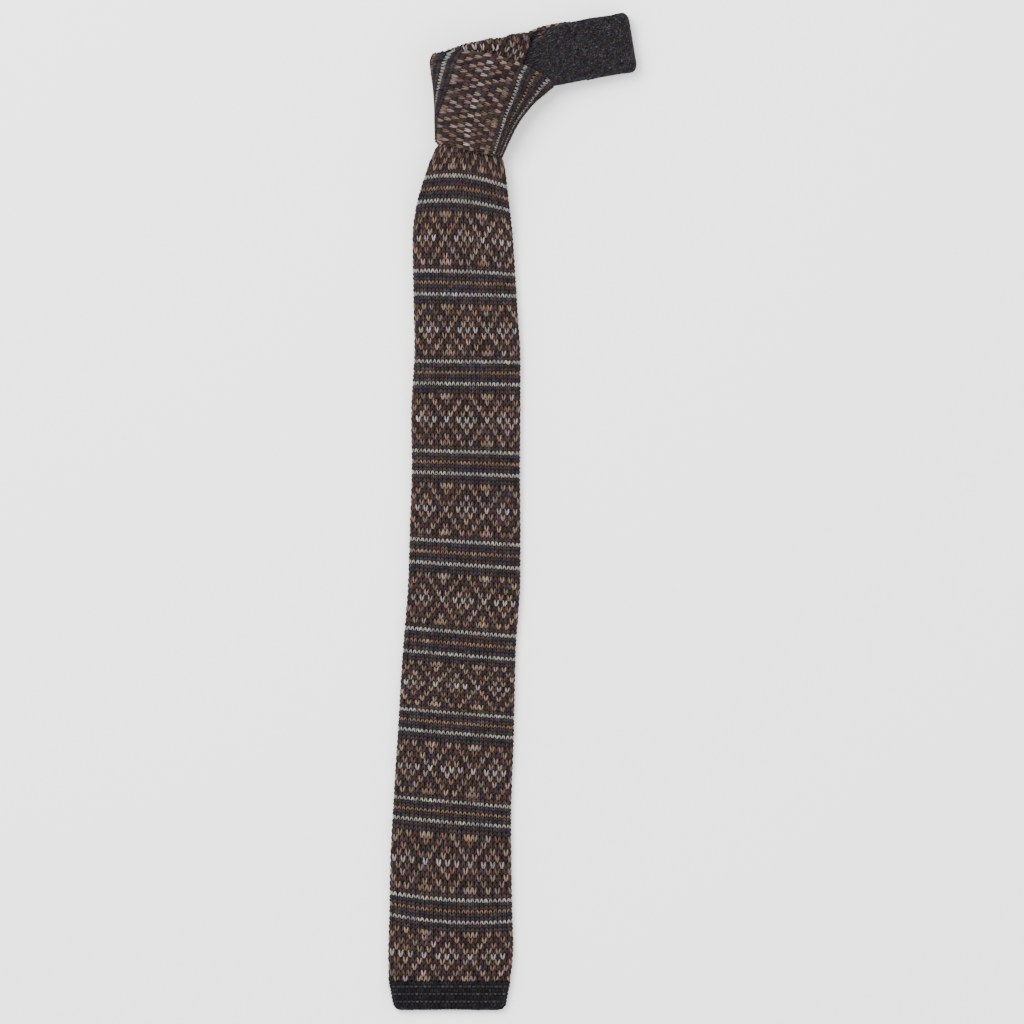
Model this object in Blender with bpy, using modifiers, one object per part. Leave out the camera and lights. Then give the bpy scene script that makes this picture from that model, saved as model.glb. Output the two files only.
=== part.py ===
"""A knitted wool tie, tied in a four-in-hand knot and laid down flat, face up.

Metres, +Z up. The floor is z = 0 and the blade runs along Y with its tip at -Y.
The origin lies on the floor under the middle of the tie's outline.
"""

from collections import namedtuple
from math import cos, pi, radians, sin, tan

import bmesh
import bpy
from mathutils import Vector

# Where the knot's mouth lies, from which all else is placed, and the gap between pieces
MOUTH_X = -0.0200
MOUTH_Y = 0.1748
CLEARANCE = 0.0003

# Front blade: a knitted tube pressed flat, with a closed band in plain yarn at its end
BLADE_LENGTH = 0.4018
BLADE_WIDTH = 0.0600
BLADE_WALL = 0.0018
BLADE_SLIT = 0.0010
END_BAND_LENGTH = 0.0138
END_BAND_WIDTH = 0.0585
END_CORNER = 0.0035

# Tail: the narrow end of the tie, hidden under the blade
TAIL_LENGTH = 0.3000
TAIL_WIDTH = 0.0300
TAIL_THICKNESS = 0.0034

# Knot: a wrap round the outside and a strip that comes over its top
KNOT_LENGTH = 0.0431
KNOT_WIDTH = 0.0593
MOUTH_WIDTH = 0.0310
MOUTH_SLANT = radians(12.3)
WRAP_WALL = 0.0032
KNOT_BOW = 0.0056
KNOT_SLACK = 0.0016
CROWN_WALL = 0.0032
CROWN_TILT = radians(13.5)
CROWN_RISE = 0.0178
CROWN_RETURN = 0.0080

# Neck loop: a plain strip that folds back at its far end, and its knitted return
NECK_REACH = 0.0490
NECK_WIDTH = 0.0286
NECK_WALL = 0.0032
NECK_TILT = radians(9.5)
NECK_RAISE = 0.0102
NECK_CORNER = 0.0040
LOOP_OPENING = 0.0050
RETURN_LENGTH = 0.0240

# The rows of the crown's and the neck strip's grids, and where in them their folds lie
CROWN_ROWS = 16
CROWN_FOLD_START = 6 / CROWN_ROWS
CROWN_FOLD_END = 12 / CROWN_ROWS
NECK_ROWS = 26
NECK_FOLD_START = 14 / NECK_ROWS
NECK_FOLD_END = 20 / NECK_ROWS

# Shares: how far up the wrap the crown starts, how far across its rim the neck loop sits,
# how much of the throat the tail fills, and how much of its thickness an edge is rounded by
CROWN_FOOT_SHARE = 78 / 100
NECK_SEAT_SHARE = 81 / 100
TAIL_THROAT_SHARE = 85 / 100
SOFT_EDGE_SHARE = 35 / 100

# How square the knot is in section: 2 is an ellipse, more is squarer
KNOT_SQUARENESS = 2.6

BLADE_THICKNESS = 2 * BLADE_WALL + BLADE_SLIT

# The layers inside the knot, from the floor up: where each one's middle lies
RETURN_LEVEL = WRAP_WALL + CLEARANCE + NECK_WALL / 2
CROWN_BACK_LEVEL = RETURN_LEVEL + NECK_WALL / 2 + CLEARANCE + CROWN_WALL / 2
NECK_LEVEL = CROWN_BACK_LEVEL + CROWN_WALL / 2 + CLEARANCE + NECK_WALL / 2
CROWN_FRONT_LEVEL = NECK_LEVEL + NECK_WALL / 2 + CLEARANCE + CROWN_WALL / 2
KNOT_HEIGHT = CROWN_FRONT_LEVEL + CROWN_WALL / 2 + CLEARANCE + WRAP_WALL + KNOT_SLACK
TAIL_LIFT = WRAP_WALL + CLEARANCE
THROAT_LIFT = TAIL_LIFT + TAIL_THICKNESS + CLEARANCE
MOUTH_HEIGHT = THROAT_LIFT + BLADE_THICKNESS + CLEARANCE + WRAP_WALL + KNOT_SLACK
THROAT_GAP = 6 * CLEARANCE
THROAT_WIDTH = MOUTH_WIDTH - 2 * (WRAP_WALL + THROAT_GAP)

# The blade clears the tail's edges by a gap, falls beside them along a short ramp and past
# the tail's end along a longer one. The wrap's underside is pressed a little into the floor.
TAIL_GAP = 4 * CLEARANCE
SIDE_RAMP = 3 * TAIL_THICKNESS
END_RAMP = 10 * TAIL_THICKNESS
FLOOR_PRESS = WRAP_WALL / 8

# Down the blade: down is a share of BLADE_LENGTH. drift, a share of BLADE_WIDTH, is how far
# its middle lies to the right of the mouth's, spread is how much of the way from THROAT_WIDTH
# to BLADE_WIDTH it has widened, lift is a share of THROAT_LIFT and hump of the tail's height.
BladeRow = namedtuple("BladeRow", "down drift spread lift hump")
BLADE_SHAPE = (
    BladeRow(-0.045, 0.000, 0.00, 1.00, 0.00),
    BladeRow(-0.009, 0.000, 0.00, 1.00, 0.00),
    BladeRow(0.000, -0.035, 0.12, 0.99, 0.01),
    BladeRow(0.009, -0.058, 0.21, 0.98, 0.02),
    BladeRow(0.017, -0.038, 0.33, 0.96, 0.04),
    BladeRow(0.030, -0.039, 0.43, 0.86, 0.16),
    BladeRow(0.060, -0.056, 0.57, 0.56, 0.48),
    BladeRow(0.096, -0.060, 0.68, 0.24, 0.80),
    BladeRow(0.132, -0.052, 0.71, 0.04, 0.97),
    BladeRow(0.204, -0.032, 0.74, 0.00, 1.00),
    BladeRow(0.240, -0.022, 0.76, 0.00, 1.00),
    BladeRow(0.312, -0.034, 0.80, 0.00, 1.00),
    BladeRow(0.385, -0.034, 0.79, 0.00, 1.00),
    BladeRow(0.457, -0.040, 0.82, 0.00, 1.00),
    BladeRow(0.529, -0.050, 0.84, 0.00, 1.00),
    BladeRow(0.601, -0.086, 0.85, 0.00, 1.00),
    BladeRow(0.709, -0.117, 0.89, 0.00, 1.00),
    BladeRow(0.782, -0.141, 0.91, 0.00, 1.00),
    BladeRow(0.854, -0.153, 0.95, 0.00, 1.00),
    BladeRow(0.926, -0.153, 0.98, 0.00, 1.00),
    BladeRow(0.962, -0.153, 1.00, 0.00, 1.00),
    BladeRow(1.000, -0.165, 0.96, 0.00, 1.00),
)

# Down the tail: down is a share of TAIL_LENGTH, spread is how much of the way from the width
# inside the knot to TAIL_WIDTH it has widened, and lift is a share of TAIL_LIFT.
TailRow = namedtuple("TailRow", "down spread lift")
TAIL_SHAPE = (
    TailRow(-0.050, 0.00, 1.00),
    TailRow(0.000, 0.00, 1.00),
    TailRow(0.020, 0.10, 0.90),
    TailRow(0.045, 0.34, 0.62),
    TailRow(0.080, 0.62, 0.26),
    TailRow(0.120, 0.85, 0.06),
    TailRow(0.180, 1.00, 0.00),
    TailRow(0.600, 1.00, 0.00),
    TailRow(1.000, 0.94, 0.00),
)

# Up the wrap, from the mouth to its top rim: out_left and out_right are shares of what
# KNOT_WIDTH has over MOUTH_WIDTH, up_left and up_right are shares of KNOT_LENGTH, bow is a
# share of KNOT_BOW, and swell is how far its height is from MOUTH_HEIGHT to KNOT_HEIGHT.
WrapRow = namedtuple("WrapRow", "up out_left out_right up_left up_right bow swell")
WRAP_SHAPE = (
    WrapRow(0.00, 0.000, 0.000, 0.000, 0.000, 0.00, 0.00),
    WrapRow(0.25, 0.018, 0.120, 0.265, 0.186, 0.05, 0.60),
    WrapRow(0.50, 0.040, 0.290, 0.510, 0.400, 0.25, 0.95),
    WrapRow(0.75, 0.095, 0.548, 0.768, 0.613, 0.62, 1.06),
    WrapRow(0.90, 0.124, 0.777, 0.905, 0.736, 0.85, 1.04),
    WrapRow(1.00, 0.078, 0.922, 1.000, 0.819, 1.00, 1.00),
)

# Along the neck strip, from its hidden end in the knot to the fold: out is a share of
# NECK_REACH and is negative inside the knot, above and below are its edges from its middle
# line as shares of NECK_WIDTH, and level is how far it is lifted towards NECK_LEVEL.
NeckRow = namedtuple("NeckRow", "out above below level")
NECK_SHAPE = (
    NeckRow(-0.66, 0.13, 0.30, 1.00),
    NeckRow(-0.30, 0.17, 0.34, 1.00),
    NeckRow(-0.03, 0.23, 0.37, 1.00),
    NeckRow(0.07, 0.30, 0.38, 0.96),
    NeckRow(0.15, 0.34, 0.37, 0.86),
    NeckRow(0.21, 0.42, 0.42, 0.74),
    NeckRow(0.27, 0.48, 0.49, 0.60),
    NeckRow(0.40, 0.50, 0.50, 0.36),
    NeckRow(0.60, 0.50, 0.50, 0.12),
    NeckRow(0.80, 0.49, 0.50, 0.00),
    NeckRow(1.00, 0.49, 0.49, 0.00),
)

# Along the return strip, which is read as the neck strip is, with its level to RETURN_LEVEL
RETURN_SHAPE = (
    NeckRow(-0.58, 0.10, 0.24, 1.00),
    NeckRow(-0.30, 0.20, 0.30, 1.00),
    NeckRow(-0.03, 0.41, 0.33, 1.00),
    NeckRow(0.08, 0.47, 0.36, 1.00),
    NeckRow(0.17, 0.49, 0.39, 1.00),
    NeckRow(0.27, 0.51, 0.46, 0.66),
    NeckRow(0.38, 0.52, 0.50, 0.14),
    NeckRow(0.49, 0.52, 0.50, 0.00),
)

# Across the crown, from its left edge to its right: round is where it lies round the wrap,
# in half turns from the right, rise is its fold's height over the wrap's rim as a share of
# CROWN_RISE, lean is a share of CROWN_TILT, and pinch is how far its back is lifted towards
# its front.
CrownRow = namedtuple("CrownRow", "across round rise lean pinch")
CROWN_SHAPE = (
    CrownRow(0.00, 0.862, 0.16, 1.00, 0.30),
    CrownRow(0.12, 0.780, 0.17, 1.00, 0.10),
    CrownRow(0.38, 0.600, 0.33, 1.00, 0.00),
    CrownRow(0.53, 0.510, 0.49, 0.95, 0.00),
    CrownRow(0.68, 0.430, 0.73, 0.70, 0.00),
    CrownRow(0.84, 0.365, 0.90, 0.35, 0.00),
    CrownRow(1.00, 0.305, 1.00, 0.00, 0.00),
)


def read(table, column, place):
    """A column of a table at a place down its first column, on a smooth curve through its rows."""
    places = [row[0] for row in table]
    values = [getattr(row, column) for row in table]
    last = len(table) - 1
    row = max(0, min(last - 1, sum(place >= p for p in places) - 1))

    def slope(i):
        low, high = max(i - 1, 0), min(i + 1, last)
        return (values[high] - values[low]) / (places[high] - places[low])

    span = places[row + 1] - places[row]
    t = max(0.0, min(1.0, (place - places[row]) / span))
    start = values[row] * (1 + 2 * t) * (1 - t) ** 2 + slope(row) * span * t * (1 - t) ** 2
    end = values[row + 1] * t * t * (3 - 2 * t) - slope(row + 1) * span * t * t * (1 - t)
    return start + end


def ease(share):
    """0 to 1 with a level start and end."""
    share = max(0.0, min(1.0, share))
    return share * share * (3 - 2 * share)


def yarn(name, colour, roughness):
    """The finish of one part: knitted wool, matt, in its main colour."""
    material = bpy.data.materials.new(name)
    material.use_nodes = True
    shader = material.node_tree.nodes["Principled BSDF"]
    shader.inputs["Base Color"].default_value = (*colour, 1.0)
    shader.inputs["Roughness"].default_value = roughness
    shader.inputs["Metallic"].default_value = 0.0
    return material


def cloth(name, place, across, along, thickness, offset, edge_share, material):
    """A knitted piece: a grid of across by along faces whose point at the shares (u, v) is
    place(u, v). It is made as thick as the cloth, inwards only where offset is -1, and its
    edges are rounded by a share of that. A grid that closes on itself is joined."""
    bm = bmesh.new()
    bmesh.ops.create_grid(bm, x_segments=across, y_segments=along, size=0.5)
    for vert in bm.verts:
        vert.co = place(vert.co.x + 0.5, vert.co.y + 0.5)
    bmesh.ops.remove_doubles(bm, verts=bm.verts, dist=0.00001)
    mesh = bpy.data.meshes.new(name)
    bm.to_mesh(mesh)
    bm.free()
    mesh.shade_smooth()
    piece = bpy.data.objects.new(name, mesh)
    wool.objects.link(piece)
    mesh.materials.append(material)

    wall = piece.modifiers.new("wall", "SOLIDIFY")
    wall.thickness = thickness
    wall.offset = offset
    if edge_share:
        soft = piece.modifiers.new("soft edges", "BEVEL")
        soft.width = edge_share * thickness
        soft.segments = 2
        soft.limit_method = "ANGLE"
        soft.angle_limit = radians(55)
    return piece


def blade_middle(down):
    """X of the blade's middle line at a share down it."""
    return MOUTH_X + read(BLADE_SHAPE, "drift", down) * BLADE_WIDTH


def blade_width(down):
    return THROAT_WIDTH + read(BLADE_SHAPE, "spread", down) * (BLADE_WIDTH - THROAT_WIDTH)


def tail_cover(down):
    """How much of the tail lies under the blade at a share down it: 1, then 0 past its end."""
    past = down * BLADE_LENGTH - TAIL_LENGTH
    return 1 - ease((past - TAIL_THICKNESS) / END_RAMP)


def tail_hump(side):
    """The blade's rise over the tail at a distance from its middle line: 1, then 0."""
    return 1 - ease((abs(side) - TAIL_WIDTH / 2 - TAIL_GAP) / SIDE_RAMP)


def blade_floor(side, down):
    """Height of the blade's underside, which falls from the knot and rides over the tail."""
    hump = read(BLADE_SHAPE, "hump", down) * tail_cover(down) * tail_hump(side)
    return read(BLADE_SHAPE, "lift", down) * THROAT_LIFT + hump * (TAIL_THICKNESS + CLEARANCE)


# Points round the blade's section: along its back, up one folded side, along its front
# and down the other
FLAT_STEPS = 10
FOLD_STEPS = 4
BLADE_STEPS = 2 * (FLAT_STEPS + FOLD_STEPS)
STATION_CROWDING = 1.5


def blade_section(step, half_width):
    """A point of the flattened tube's section: distance from its middle line, and height."""
    radius = BLADE_THICKNESS / 2
    flat = half_width - radius
    half = step // (BLADE_STEPS // 2)
    step -= half * (BLADE_STEPS // 2)
    turn = -pi / 2 + pi * max(0, step - FLAT_STEPS) / FOLD_STEPS
    side = flat * (2 * min(step, FLAT_STEPS) / FLAT_STEPS - 1) + radius * cos(turn)
    height = radius * sin(turn)
    return (side, radius + height) if half == 0 else (-side, radius - height)


def blade_place(u, v):
    """The blade: the flat tube's section carried from inside the knot down to the end band,
    through stations that crowd towards the knot, where its shape changes most."""
    first = BLADE_SHAPE[0].down
    down = first + (1 - first) * v ** STATION_CROWDING
    side, height = blade_section(round(u * BLADE_STEPS) % BLADE_STEPS, blade_width(down) / 2)
    flat = (blade_width(down) - BLADE_THICKNESS) / 2
    floor = blade_floor(max(-flat, min(flat, side)), down)
    return Vector((blade_middle(down) + side, MOUTH_Y - down * BLADE_LENGTH, floor + height))


def end_place(u, v):
    """The end band's middle layer: it tapers, and its corners are round."""
    half = blade_width(1.0) / 2 + (END_BAND_WIDTH - blade_width(1.0)) / 2 * ease(v)
    taper = (BLADE_WIDTH - END_BAND_WIDTH) * v
    to_tip = END_BAND_LENGTH * (1 - v)
    short = max(0.0, END_CORNER - to_tip)
    corner = END_CORNER - (END_CORNER ** 2 - short ** 2) ** 0.5
    side = (2 * u - 1) * (half - taper - corner)
    y = MOUTH_Y - BLADE_LENGTH - CLEARANCE - (END_BAND_LENGTH - CLEARANCE) * v
    return Vector((blade_middle(1.0) + side, y, BLADE_THICKNESS / 2))


def tail_place(u, v):
    """The tail's middle layer, which leaves the knot under the blade and lies on the floor."""
    first = TAIL_SHAPE[0].down
    down = first + (1 - first) * v
    inside = TAIL_THROAT_SHARE * THROAT_WIDTH
    width = inside + read(TAIL_SHAPE, "spread", down) * (TAIL_WIDTH - inside)
    x = blade_middle(down * TAIL_LENGTH / BLADE_LENGTH) + (u - 0.5) * width
    z = TAIL_THICKNESS / 2 + read(TAIL_SHAPE, "lift", down) * TAIL_LIFT
    return Vector((x, MOUTH_Y - down * TAIL_LENGTH, z))


def wrap_point(turn, up, depth):
    """A point of the wrap: turn half turns round it from its right side over its front, up
    from its mouth to its rim, and depth inside its outer face. Its section is a rounded box
    that stands on the floor, and its front and back bow up towards the rim."""
    wider = KNOT_WIDTH - MOUTH_WIDTH
    slant = tan(MOUTH_SLANT) * MOUTH_WIDTH / 2
    left = Vector((
        MOUTH_X - MOUTH_WIDTH / 2 - read(WRAP_SHAPE, "out_left", up) * wider,
        MOUTH_Y + slant + read(WRAP_SHAPE, "up_left", up) * KNOT_LENGTH,
    ))
    right = Vector((
        MOUTH_X + MOUTH_WIDTH / 2 + read(WRAP_SHAPE, "out_right", up) * wider,
        MOUTH_Y - slant + read(WRAP_SHAPE, "up_right", up) * KNOT_LENGTH,
    ))
    half = (right - left) / 2
    level = half.normalized()
    upward = Vector((-level.y, level.x))
    height = MOUTH_HEIGHT + read(WRAP_SHAPE, "swell", up) * (KNOT_HEIGHT - MOUTH_HEIGHT)

    angle = turn * pi
    front = sin(angle) >= 0
    power = 2 / (KNOT_SQUARENESS if front else 2 * KNOT_SQUARENESS)
    side = abs(cos(angle)) ** power * (1 if cos(angle) >= 0 else -1)
    lift = abs(sin(angle)) ** power * (1 if front else -1)
    reach = half.length - depth
    rise = height / 2 - depth + (0 if front else FLOOR_PRESS)
    bow = read(WRAP_SHAPE, "bow", up) * KNOT_BOW * (1 - side * side)
    spot = (left + right) / 2 + level * reach * side + upward * bow
    return Vector((spot.x, spot.y, max(depth, height / 2 + rise * lift)))


def wrap_place(u, v):
    return wrap_point(2 * (1 - u), v, 0.0)


def crown_place(u, v):
    """The crown's middle layer: up under the wrap's front, over a round fold and down behind."""
    depth = WRAP_WALL + CLEARANCE + CROWN_WALL / 2
    turn = read(CROWN_SHAPE, "round", u)
    rim = wrap_point(turn, 1.0, depth)
    tilt = read(CROWN_SHAPE, "lean", u) * CROWN_TILT
    upward = Vector((-sin(tilt), cos(tilt), 0.0))
    front = min(rim.z, CROWN_FRONT_LEVEL)
    back = CROWN_BACK_LEVEL + read(CROWN_SHAPE, "pinch", u) * (front - CROWN_BACK_LEVEL)
    radius = (front - back) / 2
    reach = read(CROWN_SHAPE, "rise", u) * CROWN_RISE - CROWN_WALL / 2 - radius

    if v <= CROWN_FOLD_START:
        share = v / CROWN_FOLD_START
        low = wrap_point(turn, CROWN_FOOT_SHARE, depth)
        low.z = min(low.z, CROWN_FRONT_LEVEL)
        return low.lerp(rim + upward * reach + Vector((0, 0, front - rim.z)), share)
    if v <= CROWN_FOLD_END:
        angle = pi * (v - CROWN_FOLD_START) / (CROWN_FOLD_END - CROWN_FOLD_START)
        out = upward * (reach + radius * sin(angle))
        return Vector((rim.x, rim.y, front - radius + radius * cos(angle))) + out
    share = (v - CROWN_FOLD_END) / (1 - CROWN_FOLD_END)
    return Vector((rim.x, rim.y, back)) + upward * (reach - CROWN_RETURN * share)


def neck_point(out, side, z):
    """A point of the neck loop: out along it from the knot's rim, side from its middle line."""
    left, right = wrap_point(1.0, 1.0, 0.0), wrap_point(0.0, 1.0, 0.0)
    seat = left.lerp(right, NECK_SEAT_SHARE)
    along = Vector((cos(NECK_TILT), sin(NECK_TILT)))
    spot = seat.xy + Vector((0.0, NECK_RAISE)) + along * out + Vector((-along.y, along.x)) * side
    return Vector((spot.x, spot.y, z))


def strip_side(table, u, share):
    """Distance from the strip's middle line, at u across it and a share of NECK_REACH out."""
    above = read(table, "above", share) * NECK_WIDTH
    below = read(table, "below", share) * NECK_WIDTH
    return -below + (above + below) * u


def neck_place(u, v):
    """The neck strip's middle layer: out of the knot, round the fold and back underneath."""
    radius = (LOOP_OPENING + NECK_WALL) / 2
    front = NECK_WALL * 3 / 2 + LOOP_OPENING
    side = strip_side(NECK_SHAPE, u, 1.0)
    edge = NECK_WIDTH / 2
    past = max(0.0, abs(side) - (edge - NECK_CORNER))
    rounding = NECK_CORNER - (NECK_CORNER ** 2 - min(past, NECK_CORNER) ** 2) ** 0.5
    turn_at = NECK_REACH - radius - NECK_WALL / 2 - rounding

    if v <= NECK_FOLD_START:
        first = NECK_SHAPE[0].out
        share = first + (turn_at / NECK_REACH - first) * v / NECK_FOLD_START
        z = front + read(NECK_SHAPE, "level", share) * (NECK_LEVEL - front)
        return neck_point(share * NECK_REACH, strip_side(NECK_SHAPE, u, share), z)
    if v <= NECK_FOLD_END:
        angle = pi * (v - NECK_FOLD_START) / (NECK_FOLD_END - NECK_FOLD_START)
        out = turn_at + radius * sin(angle)
        side = strip_side(NECK_SHAPE, u, turn_at / NECK_REACH)
        return neck_point(out, side, front - radius + radius * cos(angle))
    back = (v - NECK_FOLD_END) / (1 - NECK_FOLD_END)
    out = turn_at + (RETURN_LENGTH - turn_at) * back
    return neck_point(out, strip_side(NECK_SHAPE, u, out / NECK_REACH), NECK_WALL / 2)


def return_place(u, v):
    """The return strip's middle layer: from inside the knot down to the neck strip's end."""
    first = RETURN_SHAPE[0].out
    share = first + ((RETURN_LENGTH - CLEARANCE) / NECK_REACH - first) * v
    floor = NECK_WALL / 2
    z = floor + read(RETURN_SHAPE, "level", share) * (RETURN_LEVEL - floor)
    return neck_point(share * NECK_REACH, strip_side(RETURN_SHAPE, u, share), z)


for old in list(bpy.data.objects):
    bpy.data.objects.remove(old, do_unlink=True)

wool = bpy.data.collections.new("wool tie")
bpy.context.scene.collection.children.link(wool)

patterned = yarn("patterned lambswool", (0.085, 0.060, 0.055), 0.92)
plain = yarn("plain charcoal lambswool", (0.028, 0.026, 0.031), 0.92)
felted = yarn("felted charcoal lambswool", (0.036, 0.033, 0.038), 0.95)

cloth("front_blade", blade_place, BLADE_STEPS, 30, BLADE_WALL, -1, 0, patterned)
cloth("end_band", end_place, 12, 8, BLADE_THICKNESS, 0, SOFT_EDGE_SHARE, plain)
cloth("tail", tail_place, 6, 16, TAIL_THICKNESS, 0, SOFT_EDGE_SHARE, felted)
cloth("knot_wrap", wrap_place, 36, 6, WRAP_WALL, -1, SOFT_EDGE_SHARE, patterned)
cloth("knot_crown", crown_place, 10, CROWN_ROWS, CROWN_WALL, 0, SOFT_EDGE_SHARE, patterned)
cloth("neck_band", neck_place, 8, NECK_ROWS, NECK_WALL, 0, SOFT_EDGE_SHARE, felted)
cloth("neck_return", return_place, 8, 12, NECK_WALL, 0, SOFT_EDGE_SHARE, patterned)
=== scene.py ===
from collections import namedtuple
from math import cos, pi, radians, sin, tan

import bpy
import numpy as np
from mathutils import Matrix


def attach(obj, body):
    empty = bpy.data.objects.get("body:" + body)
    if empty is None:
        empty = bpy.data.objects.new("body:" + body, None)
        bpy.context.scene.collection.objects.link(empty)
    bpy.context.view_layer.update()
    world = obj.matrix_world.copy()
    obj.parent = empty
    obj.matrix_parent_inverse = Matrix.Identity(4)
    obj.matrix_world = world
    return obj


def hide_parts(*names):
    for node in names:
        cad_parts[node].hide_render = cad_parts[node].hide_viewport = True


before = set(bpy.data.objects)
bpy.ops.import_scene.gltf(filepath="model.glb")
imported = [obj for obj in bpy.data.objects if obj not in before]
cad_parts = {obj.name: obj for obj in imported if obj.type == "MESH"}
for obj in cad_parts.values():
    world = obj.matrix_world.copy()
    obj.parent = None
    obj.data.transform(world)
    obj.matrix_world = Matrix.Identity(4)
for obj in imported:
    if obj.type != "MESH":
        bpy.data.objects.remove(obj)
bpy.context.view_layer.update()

# The view and the light: the tie lies face up on a white sheet and is seen from straight
# above, through a long lens, under a broad soft light from the upper left and a weak fill.
VIEW_WIDTH = 0.4956
LENS = 250.0
SENSOR = 36.0
VIEW_MIDDLE = (0.0003, -0.0001)
FLOOR_WIDTH, FLOOR_GAP = 6.0, 0.0002


def linear(hex_colour):
    """A hex sRGB colour as linear red, green and blue."""
    parts = np.array([int(hex_colour[i:i + 2], 16) for i in (0, 2, 4)]) / 255
    return np.where(parts <= 0.04045, parts / 12.92, ((parts + 0.055) / 1.055) ** 2.4)


camera = bpy.data.objects.new("camera", bpy.data.cameras.new("camera"))
bpy.context.scene.collection.objects.link(camera)
camera.data.lens = LENS
camera.data.sensor_width = SENSOR
camera.location = (*VIEW_MIDDLE, VIEW_WIDTH * LENS / SENSOR)
bpy.context.scene.camera = camera

# White paper, uncoated: it has no shine, and shows only the tie's soft shadow
bpy.ops.mesh.primitive_plane_add(size=FLOOR_WIDTH, location=(0.0, 0.0, -FLOOR_GAP))
floor = bpy.context.object
floor.name = "floor"
paper = bpy.data.materials.new("white paper sweep, matt")
paper.use_nodes = True
paper_shader = paper.node_tree.nodes["Principled BSDF"]
paper_shader.inputs["Base Color"].default_value = (*linear("f6f6f6"), 1)
paper_shader.inputs["Roughness"].default_value = 0.9
floor.data.materials.append(paper)


def soft_light(name, size, energy, place):
    """A square area light of a size and power, turned to face the middle of the tie."""
    lamp = bpy.data.lights.new(name, "AREA")
    lamp.size, lamp.energy = size, energy
    light = bpy.data.objects.new(name, lamp)
    bpy.context.scene.collection.objects.link(light)
    light.location = place
    light.rotation_euler = light.location.to_track_quat("Z", "Y").to_euler()


soft_light("window", 1.0, 59.0, (-0.7, 0.7, 1.5))
soft_light("fill", 1.6, 22.0, (1.0, -0.5, 1.6))
world = bpy.data.worlds.new("studio")
world.use_nodes = True
world.node_tree.nodes["Background"].inputs["Color"].default_value = (1.0, 1.0, 1.0, 1)
world.node_tree.nodes["Background"].inputs["Strength"].default_value = 1.54
bpy.context.scene.world = world


# The front blade: a tube of stranded lambswool knitting pressed flat. It comes out of the
# knot, rides over the tail and lies on the floor below it. Its stitches are V's of two legs,
# 56 round the tube, in a Fair Isle repeat of 19 courses between a pair of light lines.
MOUTH = np.array([-0.0200, 0.1748])
BLADE_LENGTH = 0.4018
BLADE_WIDTH = 0.0600
THROAT_WIDTH = 0.0210
BLADE_THICKNESS = 0.0046
TAIL_WIDTH, TAIL_LENGTH, TAIL_THICKNESS = 0.0300, 0.3000, 0.0034
THROAT_LIFT = 0.0072
CLEARANCE = 0.0003
BLADE_WALES = 56
FLOATS_SUNK = 0.0007

# How far the blade takes to come down off the tail's end and off its sides, in thicknesses of
# the tail, and how far beside the tail it starts to, in clearances
OFF_END, OFF_SIDE, BESIDE_TAIL = 10, 3, 4

# How many wales the tube is rolled round at its top, how many more further down, and where
ROLL_TOP, ROLL_MORE, ROLL_FROM, ROLL_OVER = -0.2, -1.1, 0.35, 0.6

# Over which shares of its length, from the tip and from the mouth, the lines straighten
STEADY_TIP, STEADY_MOUTH = 0.05, 0.03

BladeRow = namedtuple("BladeRow", "down drift spread lift hump")
BLADE_SHAPE = (
    BladeRow(-0.045, 0.000, 0.00, 1.00, 0.00),
    BladeRow(-0.018, 0.000, 0.00, 1.00, 0.00),
    BladeRow(-0.007, -0.031, 0.12, 1.00, 0.00),
    BladeRow(0.001, -0.035, 0.23, 0.99, 0.01),
    BladeRow(0.008, -0.025, 0.31, 0.98, 0.02),
    BladeRow(0.015, -0.028, 0.37, 0.96, 0.04),
    BladeRow(0.030, -0.035, 0.45, 0.86, 0.16),
    BladeRow(0.060, -0.055, 0.58, 0.56, 0.48),
    BladeRow(0.096, -0.060, 0.68, 0.24, 0.80),
    BladeRow(0.132, -0.052, 0.71, 0.04, 0.97),
    BladeRow(0.204, -0.032, 0.74, 0.00, 1.00),
    BladeRow(0.240, -0.022, 0.76, 0.00, 1.00),
    BladeRow(0.312, -0.034, 0.80, 0.00, 1.00),
    BladeRow(0.385, -0.034, 0.79, 0.00, 1.00),
    BladeRow(0.457, -0.040, 0.82, 0.00, 1.00),
    BladeRow(0.529, -0.050, 0.84, 0.00, 1.00),
    BladeRow(0.601, -0.086, 0.85, 0.00, 1.00),
    BladeRow(0.709, -0.117, 0.89, 0.00, 1.00),
    BladeRow(0.782, -0.141, 0.91, 0.00, 1.00),
    BladeRow(0.854, -0.153, 0.95, 0.00, 1.00),
    BladeRow(0.926, -0.153, 0.98, 0.00, 1.00),
    BladeRow(0.962, -0.153, 1.00, 0.00, 1.00),
    BladeRow(1.000, -0.165, 0.96, 0.00, 1.00),
)

# One repeat of the knitting, a row for each course: W light, T tan line, X tan fleck, . dark
REPEAT = (
    "WWWWWWWWWW",
    "..........",
    "..........",
    "TTTTTTTTTT",
    "..........",
    "..........",
    "WWWWWWWWWW",
    "..........",
    "..........",
    "XX..X.X..X",
    "X..X...X..",
    "..X..X..X.",
    ".X..X.X..X",
    "W..W.W.W..",
    ".X..X.X..X",
    "..X..X..X.",
    "X..X...X..",
    "XX..X.X..X",
    "..........",
)

# The knitted length of a plain and of a flecked course, the first and the last flecked course
# of a repeat, and where the middles of its three lines lie, in courses
PLAIN_COURSE, FLECKED_COURSE = 0.00187, 0.00278
FIRST_FLECKED, LAST_FLECKED, REPEAT_COURSES = 9, 17, len(REPEAT)
FIRST_LIGHT, TAN, SECOND_LIGHT = 0.5, 3.5, 6.5

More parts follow.
